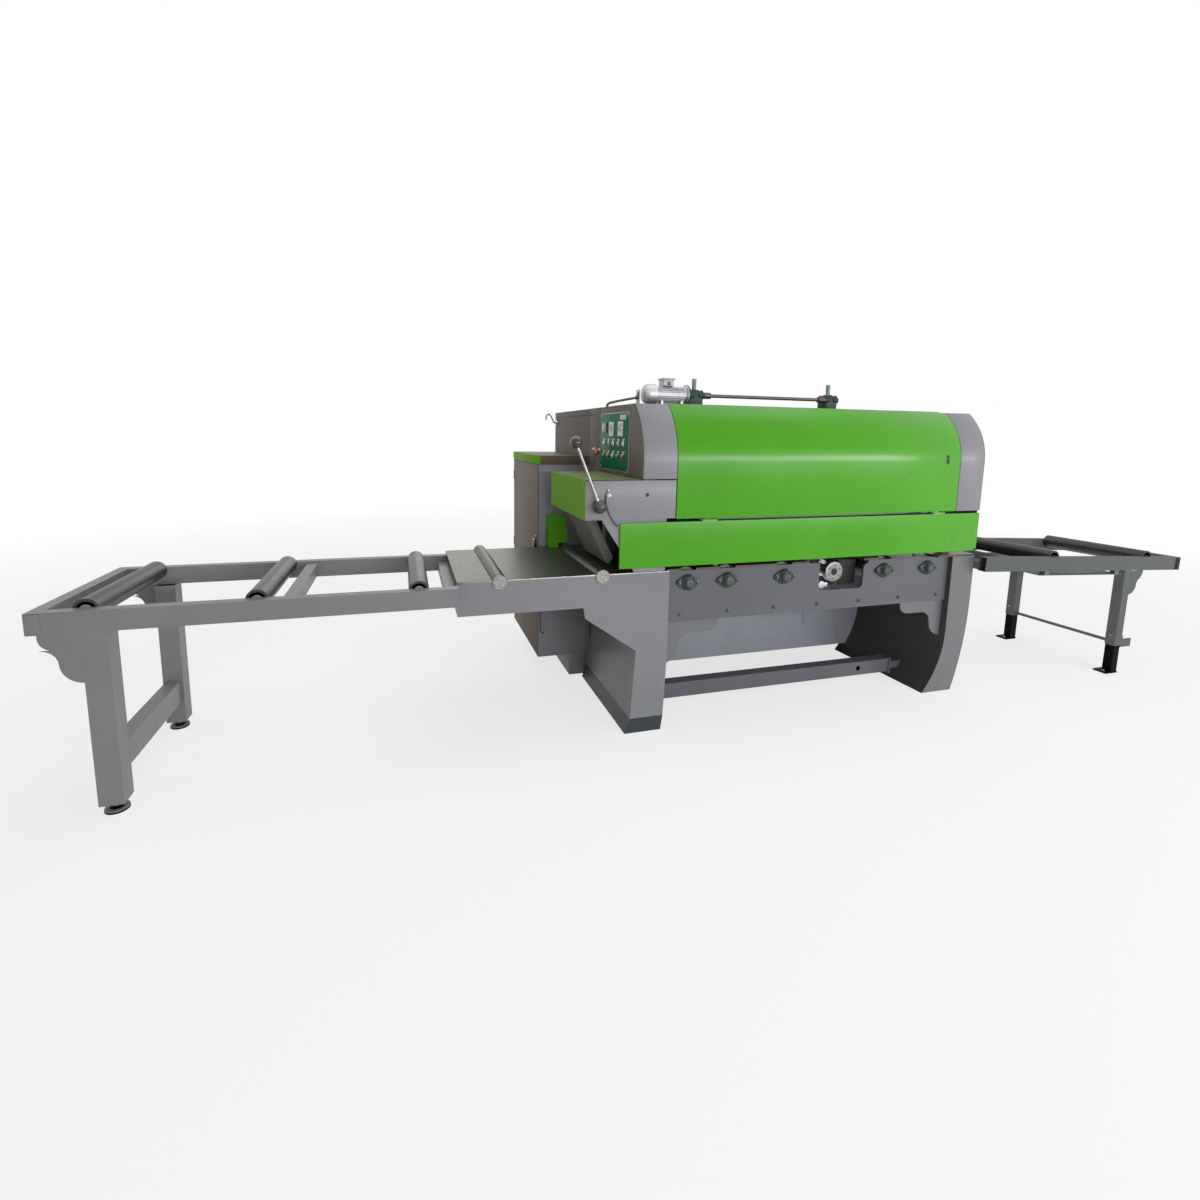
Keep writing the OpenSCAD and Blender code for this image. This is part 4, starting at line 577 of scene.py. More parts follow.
# Door seam, lock and the thin red line on the infeed end
P = Piece("end_seams", "base", "seam")
for y0, y1, z0, z1 in ((684, 688, 1336, 1560), (688, 1600, 1336, 1339), (688, 1600, 1641, 1644),
                       (1598, 1601, 1336, 1644)):
    P.box(IN_X - .5, IN_X + .3, y0, y1, z0, z1, .1)
P.box(IN_X - .7, IN_X + .2, 676, 680, 1350, 1500, .1, "red")
P.done()
P = Piece("end_lock", "base", "chrome")
P.lathe("x", IN_X - 8, 706, 1440, [(0, 7), (1.5, 9), (6, 9), (8, 13), (10, 13)], 28)
P.box(IN_X - 9, IN_X - 7.6, 704.6, 707.4, 1435, 1445, .3, "black")
for z in (1365, 1615):
    P.cyl("z", IN_X - 5, 1604, 0, 5, z - 22, z + 22, 1)
    # The hinge leaves take end_face, painted shade like the wall
    P.box(IN_X - 3, IN_X, 1590, 1620, z - 20, z + 20, .8, "end_face")
P.done()
P = Piece("lifting_hook", "base", "zinc")
P.tube([(IN_X - 1, 1600, 1600), (IN_X - 30, 1600, 1612), (IN_X - 46, 1600, 1650), (IN_X - 66, 1600, 1673),
        (IN_X - 84, 1600, 1655), (IN_X - 86, 1600, 1628)], 5.5)
P.cyl("x", 0, 1600, 1600, 16, IN_X - 5, IN_X, 1.5)
P.done()

# ------------------------------ guard
P = Piece("guard_skin", "front_guard", "lime", "front_guard")
gx0, gx1, gy, gz0, gz1 = -302, OUT_X - 4, -83, 891, 1112
P.prism("x", [(gy + 10, gz0), (gy + 1.5, gz0), (gy, gz0 + 1.5), (gy, gz1 - 1), (gy + 1, gz1), (gy + 2.5, gz1),
              (gy + 3, gz1 - 1), (gy + 3, gz0 + 3), (gy + 10, gz0 + 3)], gx0, gx1, .5)
for x in (gx0, gx1 - 3):
    P.box(x, x + 3, gy + 2, gy + 10, gz0 + 1, gz1 - 6, .6)
for hx in (130, 1572):
    for a0, a1 in ((0, 26), (27.5, 52), (53.5, 80)):
        P.cyl("x", 0, -76, 1118, 4, hx + a0, hx + a1, .8, 20)
    P.box(hx, hx + 80, -82, -77, 1100, 1117, .8)
    for k in (14, 40, 66):
        P.cyl("y", hx + k, 0, 1099, 4, gy - 2, gy, .9, 18)
P.box(gx1 - 14, gx1 - 2, gy - 1.6, gy, gz0 + 1, gz0 + 14, .5, "seam")
P.done()
# A thin dark strip under the guard's lower fold: painted shade for the gap there
P = Piece("guard_gap_shade", "front_guard", "seam")
P.box(gx0 + 4, gx1 - 4, gy + 3.2, gy + 9, gz0 - 1, gz0 - .1, .2)
P.done()

# ------------------------------ infeed head details
P = Piece("head_details", "base", "grey")
P.box(-474, -19, -81.2, -80.1, 1130.5, 1314, .4)
P.box(-476, -190.3, -80, -78, 1314, 1318.6, .6, "lime_side")
P.done()
P = Piece("head_hardware", "base", "zinc")
P.cyl("y", -168, 0, 1246, 9, -81.9, -81, .2, 24, "seam")
P.hexbolt("y", -362, 0, 1243, 8, -81.2, -1, 5)
for y in (-60, 140, 350, 560):
    for z in (1140, 1306):
        P.cyl("x", 0, y, z, 5, -480.4, -478, 1.1, 18)
for x in (-462, -300, -205):
    for y in (-60, 560):
        P.cyl("z", x, y, 0, 5, 1318, 1320.3, 1.1, 18)
P.done()
P = Piece("air_pipe", "base", "black")
P.tube([(-367, -84, 1268), (-377, -85, 1252), (-380, -85, 1229), (-374, -85, 1196), (-358, -85, 1153),
        (-337, -85, 1122), (-315, -76, 1098)], 3.2, 12)
P.cyl("y", -366, 0, 1270, 6, -90, -81, 1, 20, "zinc")
P.done()

# ------------------------------ ball lever
lz, lx, hy = 1197, -415, -113


def ball(r, rr, least, t):
    """A point of a ball's profile, t half turns along it: radius r along the axis, rr across."""
    return -r * math.cos(t * math.pi), max(least, rr * math.sin(t * math.pi))


P = Piece("lever_hub", "ball_lever", "iron", "ball_lever")
P.lathe("y", lx, hy, lz, [(-32, 3)] + [ball(32, 32, 3, t / 14) for t in range(1, 14)]
        + [(32, 12), (701, 12), (701, 11)], 40)
P.done()
P = Piece("lever_rod", "ball_lever", "steel_x")
lean = math.radians(22)
dx, dz = -math.sin(lean), math.cos(lean)
P.tube([(lx + dx * 28, hy, lz + dz * 28), (lx + dx * 300, hy, lz + dz * 300)], 7, 20)
P.tube([(lx + dx * 29, hy, lz + dz * 29), (lx + dx * 44, hy, lz + dz * 44)], 10, 6)
P.done()
P = Piece("lever_knob", "ball_lever", "black")
P.lathe("z", lx + dx * 316, hy, lz + dz * 316, [ball(27, 26.6, .5, t / 18) for t in range(19)], 36)
P.done()

# ------------------------------ control panel
px1 = IN_X - .2                                         # the panel's back
FACE = px1 - 4                                          # and its front
BUTTON_Y = [346 + (i - 2) * 77 for i in range(5)]
LAMP_Z, BUTTON_Z = 1480, 1415
P = Piece("panel_plate", "base", "emerald", "control_panel")
P.prism("x", rounded(127, 565, 1341, 1639, 9), FACE, px1, .9)
P.done()
P = Piece("panel_trim", "base", "pale")
P.prism("x", rounded(123, 569, 1337, 1643, 10), px1 - 1.2, px1 + .1, .3)
for y, z in ((136, 1350), (556, 1350), (136, 1630), (556, 1630)):
    P.cyl("x", 0, y, z, 4.2, FACE - 2, FACE, 1, 16, "chrome")
for y, z in ((233, 1557), (373, 1557)):
    needle = [(y - 2, z - 12), (y + 1, z - 12), (y + 17, z + 22), (y + 15, z + 23)]
    scale = arc(y, z - 12, 22, 35, 145, 16) + arc(y, z - 12, 20, 145, 35, 16)
    P.prism("x", rounded(y - 33, y + 33, z - 38, z + 38, 5), FACE - 7, FACE, 1, "dial")
    P.prism("x", rounded(y - 26, y + 26, z - 14, z + 30, 3), FACE - 7.6, FACE - 7, .2, "pale")
    P.prism("x", needle, FACE - 8.2, FACE - 7.6, .1, "black")
    P.prism("x", scale, FACE - 8, FACE - 7.6, .05, "black")
P.prism("x", rounded(455, 527, 1538, 1596, 4), FACE - 5, FACE, 1, "black")
P.prism("x", rounded(462, 520, 1560, 1588, 2), FACE - 5.6, FACE - 5, .2, "lcd")
for k in range(4):
    P.cyl("x", 0, 466 + k * 16, 1549, 4, FACE - 6.4, FACE - 5, .6, 16, "pale")
P.prism("x", rounded(160, 250, 1604, 1630, 3), FACE - .8, FACE, .2, "pale")
for y in BUTTON_Y:
    for z in (LAMP_Z, BUTTON_Z):
        P.prism("x", rounded(y - 17, y + 17, z + 17, z + 27, 2), FACE - .7, FACE, .15, "pale")
P.done()
P = Piece("panel_lamps", "base", "chrome")
for y, lens in zip(BUTTON_Y, ("white_cap", "amber_cap", "white_cap", "green_cap", "white_cap")):
    P.lathe("x", FACE - 4, y, LAMP_Z, [(0, 13.5), (.6, 14.5), (2.6, 14.5), (4, 13)], 32)
    P.lathe("x", FACE - 11, y, LAMP_Z, [(0, 3), (1, 7), (3.4, 10), (8, 11)], 28, lens)
    P.lathe("x", FACE - 4, y, BUTTON_Z, [(0, 12.6), (.6, 15), (2.6, 15), (4, 14)], 32)
P.done()
caps = ("red", "green_cap", "white_cap", "amber_cap", "green_cap")
for i, (y, cap) in enumerate(zip(BUTTON_Y, caps), 1):
    P = Piece("button_cap_%d" % i, "push_button_%d" % i, cap, "push_button_%d" % i)
    P.lathe("x", FACE - 5, y, BUTTON_Z, [(-7, 9), (-6.4, 11), (-5, 11.8), (0, 12), (0, 8), (18, 8)], 32)
    P.lathe("x", FACE - 5, y, BUTTON_Z, [(-7.1, 7), (-6.8, 8.6), (-6.6, 8.8)], 32)
    P.done()
STOP_Y, STOP_Z = 601, 1426
P = Piece("stop_mushroom", "emergency_stop", "red", "emergency_stop")
P.lathe("x", FACE - 6, STOP_Y, STOP_Z, [(-14, 3), (-13.4, 11), (-11.5, 17), (-8, 20), (-3.4, 20), (-1, 16),
                                        (0, 10), (22, 10)], 40)
P.done()
P = Piece("stop_collar", "base", "yellow")
P.lathe("x", IN_X - 2, STOP_Y, STOP_Z, [(0, 23), (.8, 25), (2, 25)], 40)
P.done()

# ------------------------------ electrical cabinet
cx0, cx1, cy0, cy1 = -503, IN_X - .2, 800, 1630
CAB_TOP = 1345
P = Piece("cabinet_body", "base", "grey", "electrical_cabinet")
P.box(cx0, cx1, cy0, cy0 + 3, 145, CAB_TOP, 1)
P.box(cx0, cx1, cy1 - 3, cy1, 145, CAB_TOP, 1)
P.box(cx0, cx1, cy0 + 3, cy1 - 3, 145, 148, .5)
P.box(cx0, cx1, cy0 + 3, cy1 - 3, CAB_TOP - 3, CAB_TOP, .5)
P.box(cx1 - 3, cx1, cy0 + 3, cy1 - 3, 148, CAB_TOP - 3, .5)
P.box(cx1 - 29, cx1 - 3.4, cy0 + 60, cy1 - 60, 235, 1255, 1, "pale")
P.box(cx1 - 105, cx1, cy0 + 19, cy1 - 30, 0, 144.8, 1.5)
P.done()
P = Piece("cabinet_cap", "base", "lime_side")
P.box(cx0 - 6, cx0 + 10, cy0 - 4, cy1, CAB_TOP + .2, 1397, 1.2)
# The rest of the cap is painted shade
P.box(cx0 + 10.1, cx1, cy0 - 4, cy1, CAB_TOP + .2, 1397, 1.2, "shade")
P.done()
# The door is painted shade, dark brown for a face turned to the infeed end
P = Piece("door_panel", "cabinet_door", "shade", "cabinet_door")
P.prism("x", rounded(cy0 + 3, cy1 - 3, 150, CAB_TOP - 4, 4, 3), cx0 - 3.2, cx0 - .2, .9)
P.done()
P = Piece("door_handle", "cabinet_door", "black")
P.box(cx0 - 9, cx0 - 3.2, 838, 866, 770, 910, 2)
P.box(cx0 - 22, cx0 - 9, 843, 861, 780, 900, 3)
P.done()
P = Piece("door_hinges", "cabinet_door", "black")
for z in (260, 745, 1230):
    P.cyl("z", cx0 - 2.9, cy1 - .3, 0, 2.7, z - 30, z + 30, .6)
P.done()
P = Piece("cabinet_pipe", "base", "black")
P.tube([(-492, 801, 446), (-492, 795, 440), (-492, 795, 330), (-488, 795, 306), (-470, 795, 298)], 3.2, 12)
P.done()

# ------------------------------ lifting gear on the top
mz, my, m0, m1 = 1750, 387.5, -18, 244      # the motor's axis and its two ends
SHAFT_Y = my - 26
JACK_X, JACK_FOOT, JACK_TOP = (290, 1178), 1692, 1776
CORNERS = ((-1, -1), (1, -1), (-1, 1), (1, 1))
P = Piece("lift_motor_body", "base", "alu", "lift_motor")
P.cyl("x", 0, my, mz, 47, m0 + 18, m1 - 12, 1.5, 48)
for i in range(28):
    t = 2 * math.pi * i / 28
    u, w = math.cos(t), math.sin(t)
    if w > .72:
        continue
    a = [(my + u * 46 - w * 1.2, mz + w * 46 + u * 1.2), (my + u * 55 - w * .8, mz + w * 55 + u * .8),
         (my + u * 55 + w * .8, mz + w * 55 - u * .8), (my + u * 46 + w * 1.2, mz + w * 46 - u * 1.2)]
    P.prism("x", a, m0 + 74, m1 - 30, .3)
P.lathe("x", m0, my, mz, [(0, 14), (1.4, 30), (5, 41), (13, 49), (26, 53.6), (36, 54.8), (70, 55),
                          (72, 52)], 48)
P.lathe("x", m1 - 14, my, mz, [(0, 52), (2, 56.6), (6, 56.6)], 48)
for x in (m0 + 84, m1 - 60):
    for s in (-1, 1):
        P.box(x, x + 30, my + s * 24, my + s * 50, TOP + .3, TOP + 10, 1.5)
        P.box(x + 8, x + 22, my + s * 30, my + s * 42, TOP + 8, mz - 30, 1.5)
P.done()
P = Piece("terminal_box", "base", "pale")
P.box(m0 + 108, m0 + 171, my - 34, my + 34, mz + 46, mz + 77, 3)
P.box(m0 + 102, m0 + 177, my - 39, my + 39, mz + 78, mz + 88, 3)
for i, j in CORNERS:
    P.cyl("z", m0 + 139.5 + i * 30, my + j * 32, 0, 3.4, mz + 88, mz + 90, .8, 14, "chrome")
P.cyl("y", m0 + 140, 0, mz + 58, 9, my - 42, my - 30, 1.4, 20, "black")
P.done()
P = Piece("motor_flange", "base", "dark_green")
P.cyl("x", 0, my, mz, 57.4, m1 - 8, m1, 1.5, 48)
P.box(m1, m1 + 8, my - 40, my + 40, 1694, 1786, 2)
for k in range(4):
    t = k * math.pi / 2 + .785
    P.hexbolt("x", 0, my + 51 * math.cos(t), mz + 51 * math.sin(t), 5, m1 - 8, -1, 4, "zinc")
P.done()
P = Piece("motor_bracket", "base", "pale")
P.box(m0 - 27, m0 - 24, my - 26, my + 26, TOP + .3, 1772, 1)
P.box(m0 - 27, m0 - 2, my - 26, my + 26, TOP + .3, TOP + 3.4, 1)
P.cyl("x", 0, my - 6, 1748, 10, m0 - 27.6, m0 - 23.5, .3, 24, "seam")
P.done()
P = Piece("motor_conduit", "base", "black")
P.tube([(m0 - 24, my, 1730), (m0 - 70, my - 2, 1722), (m0 - 150, my - 6, 1706), (-215, my - 8, 1694),
        (-224, my - 8, 1680), (-221, my - 8, 1664)], 6.8)
P.cyl("x", 0, my, 1730, 11, m0 - 40, m0 - 22, 1.5, 20)
P.done()
# The jacks are open in the middle for the screws and at the side for the shaft
for k, x in enumerate(JACK_X, 1):
    P = Piece("jack_%d" % k, "base", "dark_green", *(["lift_jacks"] if k == 1 else []))
    for s in (-1, 1):
        P.box(x + s * 13, x + s * 52, my - 52, my + 52, TOP + .3, JACK_FOOT, .8)
        P.box(x - 13, x + 13, my + s * 14, my + s * 52, TOP + .3, JACK_FOOT, .8)
        P.box(x - 38, x + 38, my + s * 14, my + s * 40, JACK_FOOT, JACK_TOP, 4)
        P.box(x + s * 13, x + s * 38, my - 16, my + 16, JACK_FOOT, JACK_TOP, 2)
    P.lathe("z", x, my, 0, [(1770, 13), (1770, 25), (1771, 27), (1780, 27), (1782, 24), (1782, 13),
                            (1770, 13)], 32)
    P.lathe("x", x - 44, SHAFT_Y, mz, [(0, 16), (2, 20), (31, 20)], 32)
    P.lathe("x", x + 13, SHAFT_Y, mz, [(0, 20), (31, 20), (33, 16)], 32)
    for i, j in CORNERS:
        P.hexbolt("z", x + i * 44, my + j * 44, 0, 5, JACK_FOOT, 1, 5, "zinc")
        P.cyl("z", x + i * 30, my + j * 32, 0, 4, JACK_TOP, JACK_TOP + 4, 1, 6, "zinc")
    P.done()
P = Piece("shaft_fittings", "lift_shaft", "shaft")
P.lathe("x", 1090.6, SHAFT_Y, mz, [(0, 15), (1, 18), (19, 18), (20, 16), (21, 16), (22, 18), (42, 18),
                                   (43, 15)], 32)
P.cyl("z", 1112, SHAFT_Y, 0, 4, mz + 16, mz + 25, 1, 6)
P.lathe("x", 336.4, SHAFT_Y, mz, [(0, 16), (1, 18), (40, 18), (42, 15)], 32)
P.done()
P = Piece("screw_threads", "press_beam", "shaft")
for x in JACK_X:
    prof = [(1781, 11.65)]
    for z in range(1781, 1836, 4):
        prof += [(z + 1.2, 12.25), (z + 2.2, 12.25), (z + 3.4, 11.25), (z + 4, 11.25)]
    P.lathe("z", x, my, 0, prof + [(1838, 11.85), (1842, 9.5)], 28)
P.done()

# ------------------------------ flange bearings
FZ = 776.5                                  # axis of the feed rollers
FEED_X = (117, 348, 696, 1364, 1678)
FRONT, BACK, BED_L = 29.8, 745.2, 1838      # outer faces of the bearing plates, their length
P = Piece("flange_castings", "base", "bearing", "flange_bearings")
Q = Piece("bearing_inserts", "base", "bearing")


def flange_pts(x, z):
    """Outline of a flange with two ears: radius of its body and ears, distance of the ears."""
    r, e, d = 42, 15, 50
    t = math.degrees(math.acos((r - e) / d))
    return (arc(x, z, r, t, 180 - t, 14) + arc(x - d, z, e, 180 - t, 180 + t, 10)
            + arc(x, z, r, 180 + t, 360 - t, 14) + arc(x + d, z, e, -t, t, 10))


for x in FEED_X:
    for s, y in ((-1, FRONT), (1, BACK)):
        P.prism("y", flange_pts(x, FZ), y, y + s * 12, 2.2)
        P.lathe("y", x, y, FZ, [(12 * s, 41), (14 * s, 39), (20 * s, 35.5), (22 * s, 34), (22 * s, 30),
                                (17 * s, 29), (17 * s, 20)], 44)
        Q.lathe("y", x, y, FZ, [(15 * s, 28.5), (18.5 * s, 28.5), (19 * s, 24.5), (25 * s, 24.5),
                                (26 * s, 26), (29.5 * s, 26), (30 * s, 24.5), (30 * s, 17.8)], 40)
        Q.cyl("x", 0, y + s * 27, FZ + 8, 2.6, x + 24, x + 28, .4, 6)
        P.tube([(x + 12, y + s * 18, FZ + 33), (x + 18, y + s * 22, FZ + 42)], 2.6, 8, "zinc")
P.done()
Q.done()
P = Piece("bearing_bolts", "base", "dull", "fasteners")
for x in FEED_X:
    for k in (-50, 50):
        P.hexbolt("y", x + k, 0, FZ, 8, FRONT - 12.2, -1, 7)
        P.hexbolt("y", x + k, 0, FZ, 8, BACK + 12.4, 1, 7)
for i in range(7):
    x = 80 + i * (BED_L - 150) / 6
    P.cyl("y", x, 0, 608, 12, FRONT, FRONT - 2.2, .6, 24, "iron")
    P.cyl("y", x, 0, 608, 8.5, FRONT - 2.2, FRONT - 8, 1.2, 6, "iron")
    P.cyl("y", x, 0, 608, 9, BACK, BACK + 8, 1.2, 6, "iron")
P.done()
for i, x in enumerate(FEED_X, 1):
    P = Piece("journal_ends" + ("_%d" % i if i > 1 else ""), "feed_roller_%d" % i, "dull")
    P.lathe("y", x, -4, FZ, [(-.6, 3), (-.6, 14), (.2, 16.5), (1, 16.5)], 28)
    P.cyl("y", x, 0, FZ, 2.4, -5, -4, .2, 14, "seam")
    P.box(x - 2.2, x + 2.2, -4.9, -4, FZ + 8, FZ + 16.4, .2, "seam")
    P.done()

# ------------------------------ saw arbor end
P = Piece("arbor_nut", "saw_arbor", "ring")
az, ax = 778, 1040
P.lathe("y", ax, 52, az, [(-1.2, 17), (-1.8, 19), (-1.8, 30), (-.6, 31), (-.6, 44), (-1.6, 45), (-1.6, 54),
                          (0, 56.8), (1, 56.8)], 48)
# The six dark discs and the dark ring inside are painted shade for the nut's pin holes and its centre hole
for k in range(6):
    t = math.pi / 3 * k + .4
    P.cyl("y", ax + 38 * math.cos(t), 0, az + 38 * math.sin(t), 4, 50.6, 51.6, .2, 16, "seam")
P.lathe("y", ax, 52, az, [(-2.2, 5), (-2.2, 19), (-1.9, 21), (-1.7, 21.6)], 32, "seam")
P.done()
P = Piece("window_bracket", "base", "alu")
P.lathe("y", 968, 56, 705, [(0, 12), (1, 21), (40, 21), (42, 14)], 32)
P.box(955, 1010, 60, 68, 690, 716, 2)
P.tube([(930, 62, 735), (938, 62, 752), (950, 62, 760)], 4, 10)
P.done()
P = Piece("window_shadow", "base", "seam")
P.box(1105, 1222, 96, 99, 690, 838, .5)
P.done()

# ------------------------------ welds, caps and hardware of the tables
TABLE_X, INFEED_X = (-2460, -1870, -1225), (-862, -357)     # rollers of the table and of the infeed
ROLLER_Z = 829.5


def end_cap(s):
    """Profile of a table roller's end cap, pressed in from the side s."""
    return [(0, 42), (s * .8, 41), (s * .8, 34), (-s * .2, 33), (-s * .2, 17), (s * 1.5, 16), (s * 1.8, 8.4)]


P = Piece("table_welds", "base", "grey_table")
for y in (-30, 730):
    P.tube([(-2584, y, 757), (-2584, y, 840)], 2, 8)
for y in (-80, 680):
    P.tube([(-2466, y + 1, 756), (-2378, y + 1, 756)], 2, 8)
for z in (150, 260):
    P.tube([(-2453, 8.5, z), (-2389, 8.5, z)], 2, 8)
P.done()
P = Piece("end_plate", "base", "grey_table")
P.box(-2634, -2584, -81.5, -80.1, 760, 837, .5)
P.done()
P = Piece("levelling_pads", "base", "black_paint")
for y in (-36, 686):
    P.lathe("z", -2421, y, 0, [(0, 43), (6, 43.5), (9, 40), (14, 18), (16, 12), (17, 10)], 36)
    P.cyl("z", -2421, y, 0, 16, 22, 34, 1.5, 6, "zinc")
P.done()
P = Piece("roller_brackets", "base", "grey_table")
for x in TABLE_X:
    for y, s in ((-30, 1), (680, -1)):
        P.lathe("y", x, y, ROLLER_Z, [(0, 20), (s, 22), (s * 2.6, 22), (s * 3.4, 13)], 28)
P.done()
for i, x in enumerate(TABLE_X, 1):
    P = Piece("roller_caps_%d" % i, "table_roller_%d" % i, "roller")
    for y, s in ((-26, -1), (676, 1)):
        P.lathe("y", x, y, ROLLER_Z, end_cap(s), 36)
    P.done()
for i, x in enumerate(INFEED_X, 1):
    P = Piece("infeed_caps_%d" % i, "infeed_roller_%d" % i, "bright")
    P.lathe("y", x, -3, 839, [(-1, 5.4), (-.4, 7.3), (.4, 7.5)], 28)
    P.done()
P = Piece("infeed_bosses", "base", "zinc")
for x in INFEED_X:
    P.lathe("y", x, -6, 839, [(-1.4, 9), (-1.4, 13), (-.2, 14), (-.2, 27), (-1.2, 28), (-1.2, 33),
                              (0, 34.6), (1, 34.6)], 40)
    for k in range(4):
        t = math.pi / 2 * k + .5
        P.hexbolt("y", x + 21 * math.cos(t), 0, 839 + 21 * math.sin(t), 3.6, -6.2, -1, 2.6)
P.done()
P = Piece("table_edge", "base", "steel_x")
P.box(-1056, -1, -.4, .2, 840.4, 849.2, .2)
P.done()

# Outfeed table, which falls away from the machine about its edge at RX, RZ
fall = math.radians(2.5)
RX, RZ = 2003.2, 756
FAR_X = RX + 1720


def fallen(x, z):
    """Where a point of the level table lies after the fall."""
    return (RX + (x - RX) * math.cos(fall) + (z - RZ) * math.sin(fall),
            RZ - (x - RX) * math.sin(fall) + (z - RZ) * math.cos(fall))


for i, x in enumerate((FAR_X - 245, FAR_X - 1100), 1):
    x, z = fallen(x, ROLLER_Z)
    P = Piece("outfeed_caps_%d" % i, "outfeed_roller_%d" % i, "roller")
    for y, s in ((-26, -1), (626, 1)):
        P.lathe("y", x, y, z, end_cap(s), 36)
    P.done()
lx0 = FAR_X - 520                           # face of the outfeed legs
P = Piece("leg_clamps", "base", "zinc")
for y in (-80, 620):
    P.hexbolt("x", 0, y + 30, 260, 7, lx0 + .2, -1, 8)
    P.box(lx0 - 1.4, lx0, y + 12, y + 48, 242, 278, .6, "grey_table")
P.done()
P = Piece("foot_bolts", "front_leg_foot", "zinc")
P.hexbolt("z", lx0 - 24, -50, 0, 7, 10, 1, 7)
P.done()
P = Piece("foot_bolts_rear", "rear_leg_foot", "zinc")
P.hexbolt("z", lx0 - 24, 650, 0, 7, 10, 1, 7)
P.done()

# ------------------------------ rear of the housing
BY = 1660
PANELS = ((900, 1400, 260, 900), (-120, 300, 900, 1500), (1450, 1840, 900, 1500))
P = Piece("rear_panels", "base", "grey")
for x0, x1, z0, z1 in PANELS:
    P.prism("y", rounded(x0, x1, z0, z1, 10), BY, BY + 2.5, .8)
for x0, x1, z0 in ((960, 1340, 620), (-70, 250, 1180)):
    for z in range(z0, z0 + 9 * 26, 26):
        louvre = [(BY + 2.4, z), (BY + 13, z - 7), (BY + 13, z - 5), (BY + 2.4, z + 12)]
        P.prism("x", louvre, x0, x1, .5)
P.done()
P = Piece("rear_hardware", "base", "zinc")
for x0, x1, z0, z1 in PANELS:
    for x in (x0 + 16, x1 - 16):
        for z in (z0 + 16, (z0 + z1) / 2, z1 - 16):
            P.hexbolt("y", x, 0, z, 5, BY + 2.5, 1, 4)
for z in (1000, 1400):
    P.cyl("z", 1842, BY + 6, 0, 6, z - 35, z + 35, 1.2)
P.box(1470, 1490, BY + 2.5, BY + 30, 1140, 1260, 4, "black")
P.done()
P = Piece("outlet_bead", "base", "zinc")
ox, oz = 480, 430
P.lathe("y", ox, BY, oz, [(0, 101), (0, 128), (3, 129), (4, 128), (4, 101)], 64)
P.lathe("y", ox, BY, oz, [(52, 99.9), (54, 102.4), (57, 102.4), (59, 99.9)], 64)
for k in range(8):
    t = math.pi / 4 * k
    P.hexbolt("y", ox + 115 * math.cos(t), 0, oz + 115 * math.sin(t), 4, BY + 4, 1, 3)
P.done()
P = Piece("rear_seams", "base", "seam")
for x in (330, 1420):
    P.box(x - 1.2, x + 1.2, BY - .2, BY + .4, 152, 1676, .1)
    P.box(x - 1.2, x + 1.2, 170, BY - 2, TOP - .4, TOP + .4, .1)
P.box(OUT_X - .3, OUT_X + .4, 784, 787, 152, 1676, .1)
P.box(OUT_X - .3, OUT_X + .4, 1230, 1233, 152, 1676, .1)
P.done()
P = Piece("side_vents", "base", "grey")
for z in range(420, 420 + 8 * 28, 28):
    P.prism("y", [(OUT_X - .2, z), (OUT_X, z), (OUT_X + 9.5, z - 8), (OUT_X + 9.5, z - 6), (OUT_X, z + 12)],
            880, 1150, .5)
P.done()

# Hood latch: a small green plate with a dark handle
P = Piece("hood_latch", "hood", "black")
P.prism("y", rounded(1632, 1652, 1392, 1440, 4), HOOD_Y - 1.2, HOOD_Y + .4, .4, "dark_green")
P.box(1639, 1644, HOOD_Y - 4, HOOD_Y - 1, 1397, 1436, 1.3)
P.box(1639, 1650, HOOD_Y - 4, HOOD_Y - 1, 1397, 1403, 1.3)
P.done()

# ------------------------------ floor, light and camera
# The camera and reflections see a floor that is mostly white light, all white from 9 m outward
FLOOR_LIGHT, NEAR_R, FADE = .72, 3.6, .18
fm, ns, ls, _ = new_mat("studio_floor")
lp = ns.new("ShaderNodeLightPath")
em = ns.new("ShaderNodeEmission")
em.inputs["Color"].default_value = (1, 1, 1, 1)
em.inputs["Strength"].default_value = 1
diff = ns.new("ShaderNodeBsdfDiffuse")
diff.inputs["Color"].default_value = (.93, .93, .93, 1)
mx = ns.new("ShaderNodeMixShader")
out = ns["Material Output"]
sep = ns.new("ShaderNodeSeparateXYZ")
ls.new(coords(ns, ls), sep.inputs[0])
xx, yy = (math_node(ns, ls, "POWER", sep.outputs[i], 2.0) for i in ("X", "Y"))
far = math_node(ns, ls, "SQRT", math_node(ns, ls, "ADD", xx, yy))
far = math_node(ns, ls, "MULTIPLY", math_node(ns, ls, "SUBTRACT", far, NEAR_R), FADE)
far = math_node(ns, ls, "MINIMUM", math_node(ns, ls, "MAXIMUM", far, 0.0), 1.0)
far = math_node(ns, ls, "ADD", math_node(ns, ls, "MULTIPLY", far, 1 - FLOOR_LIGHT), FLOOR_LIGHT)
seen = math_node(ns, ls, "MAXIMUM", lp.outputs["Is Camera Ray"], lp.outputs["Is Glossy Ray"])
ls.new(math_node(ns, ls, "MULTIPLY", seen, far), mx.inputs[0])
ls.new(diff.outputs[0], mx.inputs[1])
ls.new(em.outputs[0], mx.inputs[2])
ls.new(mx.outputs[0], out.inputs["Surface"])
bm = bmesh.new()
bmesh.ops.create_grid(bm, x_segments=1, y_segments=1, size=60)
me = bpy.data.meshes.new("floor")
bm.to_mesh(me)
bm.free()
me.materials.append(fm)
floor = bpy.data.objects.new("floor", me)
floor.location = (0, 0, -.0006)
bpy.context.scene.collection.objects.link(floor)

world = bpy.data.worlds.new("studio")
bpy.context.scene.world = world
world.use_nodes = True
wn, wl = world.node_tree.nodes, world.node_tree.links
bg = wn["Background"]
bg.inputs["Color"].default_value = (1, 1, 1, 1)
bg.inputs["Strength"].default_value = .38
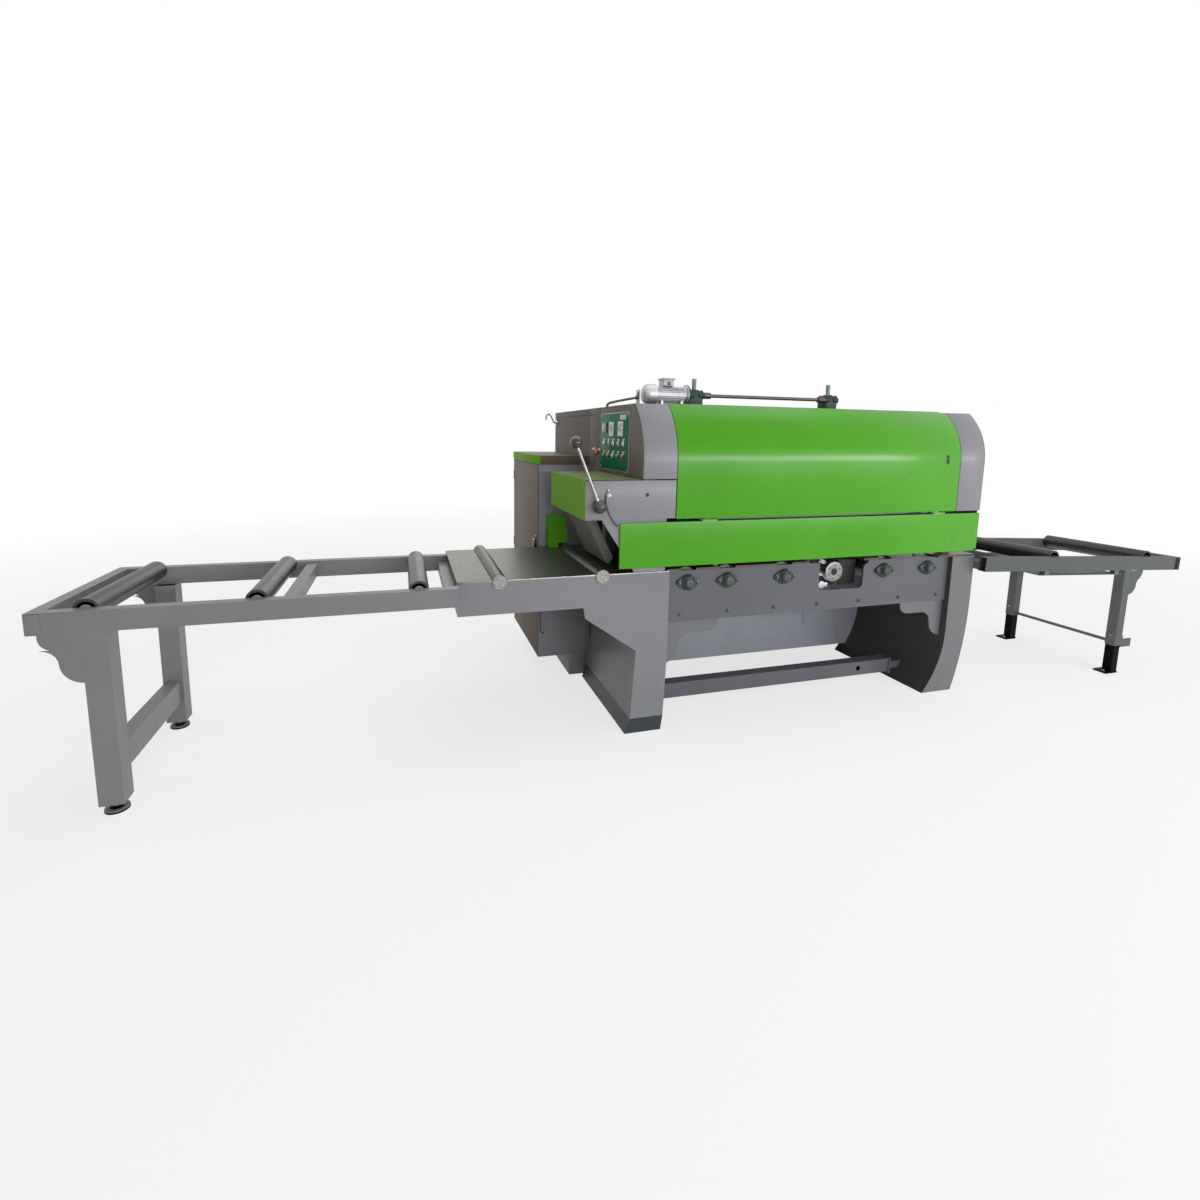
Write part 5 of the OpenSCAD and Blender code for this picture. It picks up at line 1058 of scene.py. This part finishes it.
# Behind the machine and in its reflections the surroundings are plain white
white = wn.new("ShaderNodeBackground")
white.inputs["Color"].default_value = (1, 1, 1, 1)
white.inputs["Strength"].default_value = 1
wlp = wn.new("ShaderNodeLightPath").outputs
wmx = wn.new("ShaderNodeMixShader")
seen = math_node(wn, wl, "MAXIMUM", wlp["Is Camera Ray"], wlp["Is Glossy Ray"])
wl.new(math_node(wn, wl, "MAXIMUM", seen, wlp["Is Transmission Ray"]), wmx.inputs[0])
wl.new(bg.outputs[0], wmx.inputs[1])
wl.new(white.outputs[0], wmx.inputs[2])
wl.new(wmx.outputs[0], wn["World Output"].inputs["Surface"])


def area(name, loc, target, size, power):
    """A rectangular light of that size in metres and power in watts."""
    light = bpy.data.lights.new(name, "AREA")
    light.shape = "RECTANGLE"
    light.size, light.size_y = size
    light.energy = power
    ob = bpy.data.objects.new(name, light)
    ob.location = loc
    ob.rotation_euler = (Vector(target) - Vector(loc)).to_track_quat("-Z", "Y").to_euler()
    bpy.context.scene.collection.objects.link(ob)


area("key", (2.4, -6.0, 1.8), (.3, -.4, 1.1), (9, .22), 245)
area("top", (0, -.6, 6.0), (0, 0, 0), (7, 3), 85)
area("back", (1.0, 6, 4), (0, 0, .8), (6, 3), 70)

# Camera at the photograph's viewpoint
C = Vector((-1.275 - MX / 1000, -2.718 - MY / 1000, 1.526))
yaw, pitch, roll = -.295, -.144, .015
fwd = Vector((-math.sin(yaw) * math.cos(pitch), math.cos(yaw) * math.cos(pitch), math.sin(pitch)))
right = Vector((math.cos(yaw), math.sin(yaw), 0))
upv = right.cross(fwd)
r2 = right * math.cos(roll) + upv * math.sin(roll)
u2 = upv * math.cos(roll) - right * math.sin(roll)
cam = bpy.data.cameras.new("camera")
cam.sensor_width = 36
cam.lens = 18
cam.shift_x, cam.shift_y = .012, -.0654
cam.clip_end = 200
co = bpy.data.objects.new("camera", cam)
co.matrix_world = Matrix((*((r2[i], u2[i], -fwd[i], C[i]) for i in range(3)), (0, 0, 0, 1)))
bpy.context.scene.collection.objects.link(co)
bpy.context.scene.camera = co
bpy.context.scene.view_settings.view_transform = "Standard"
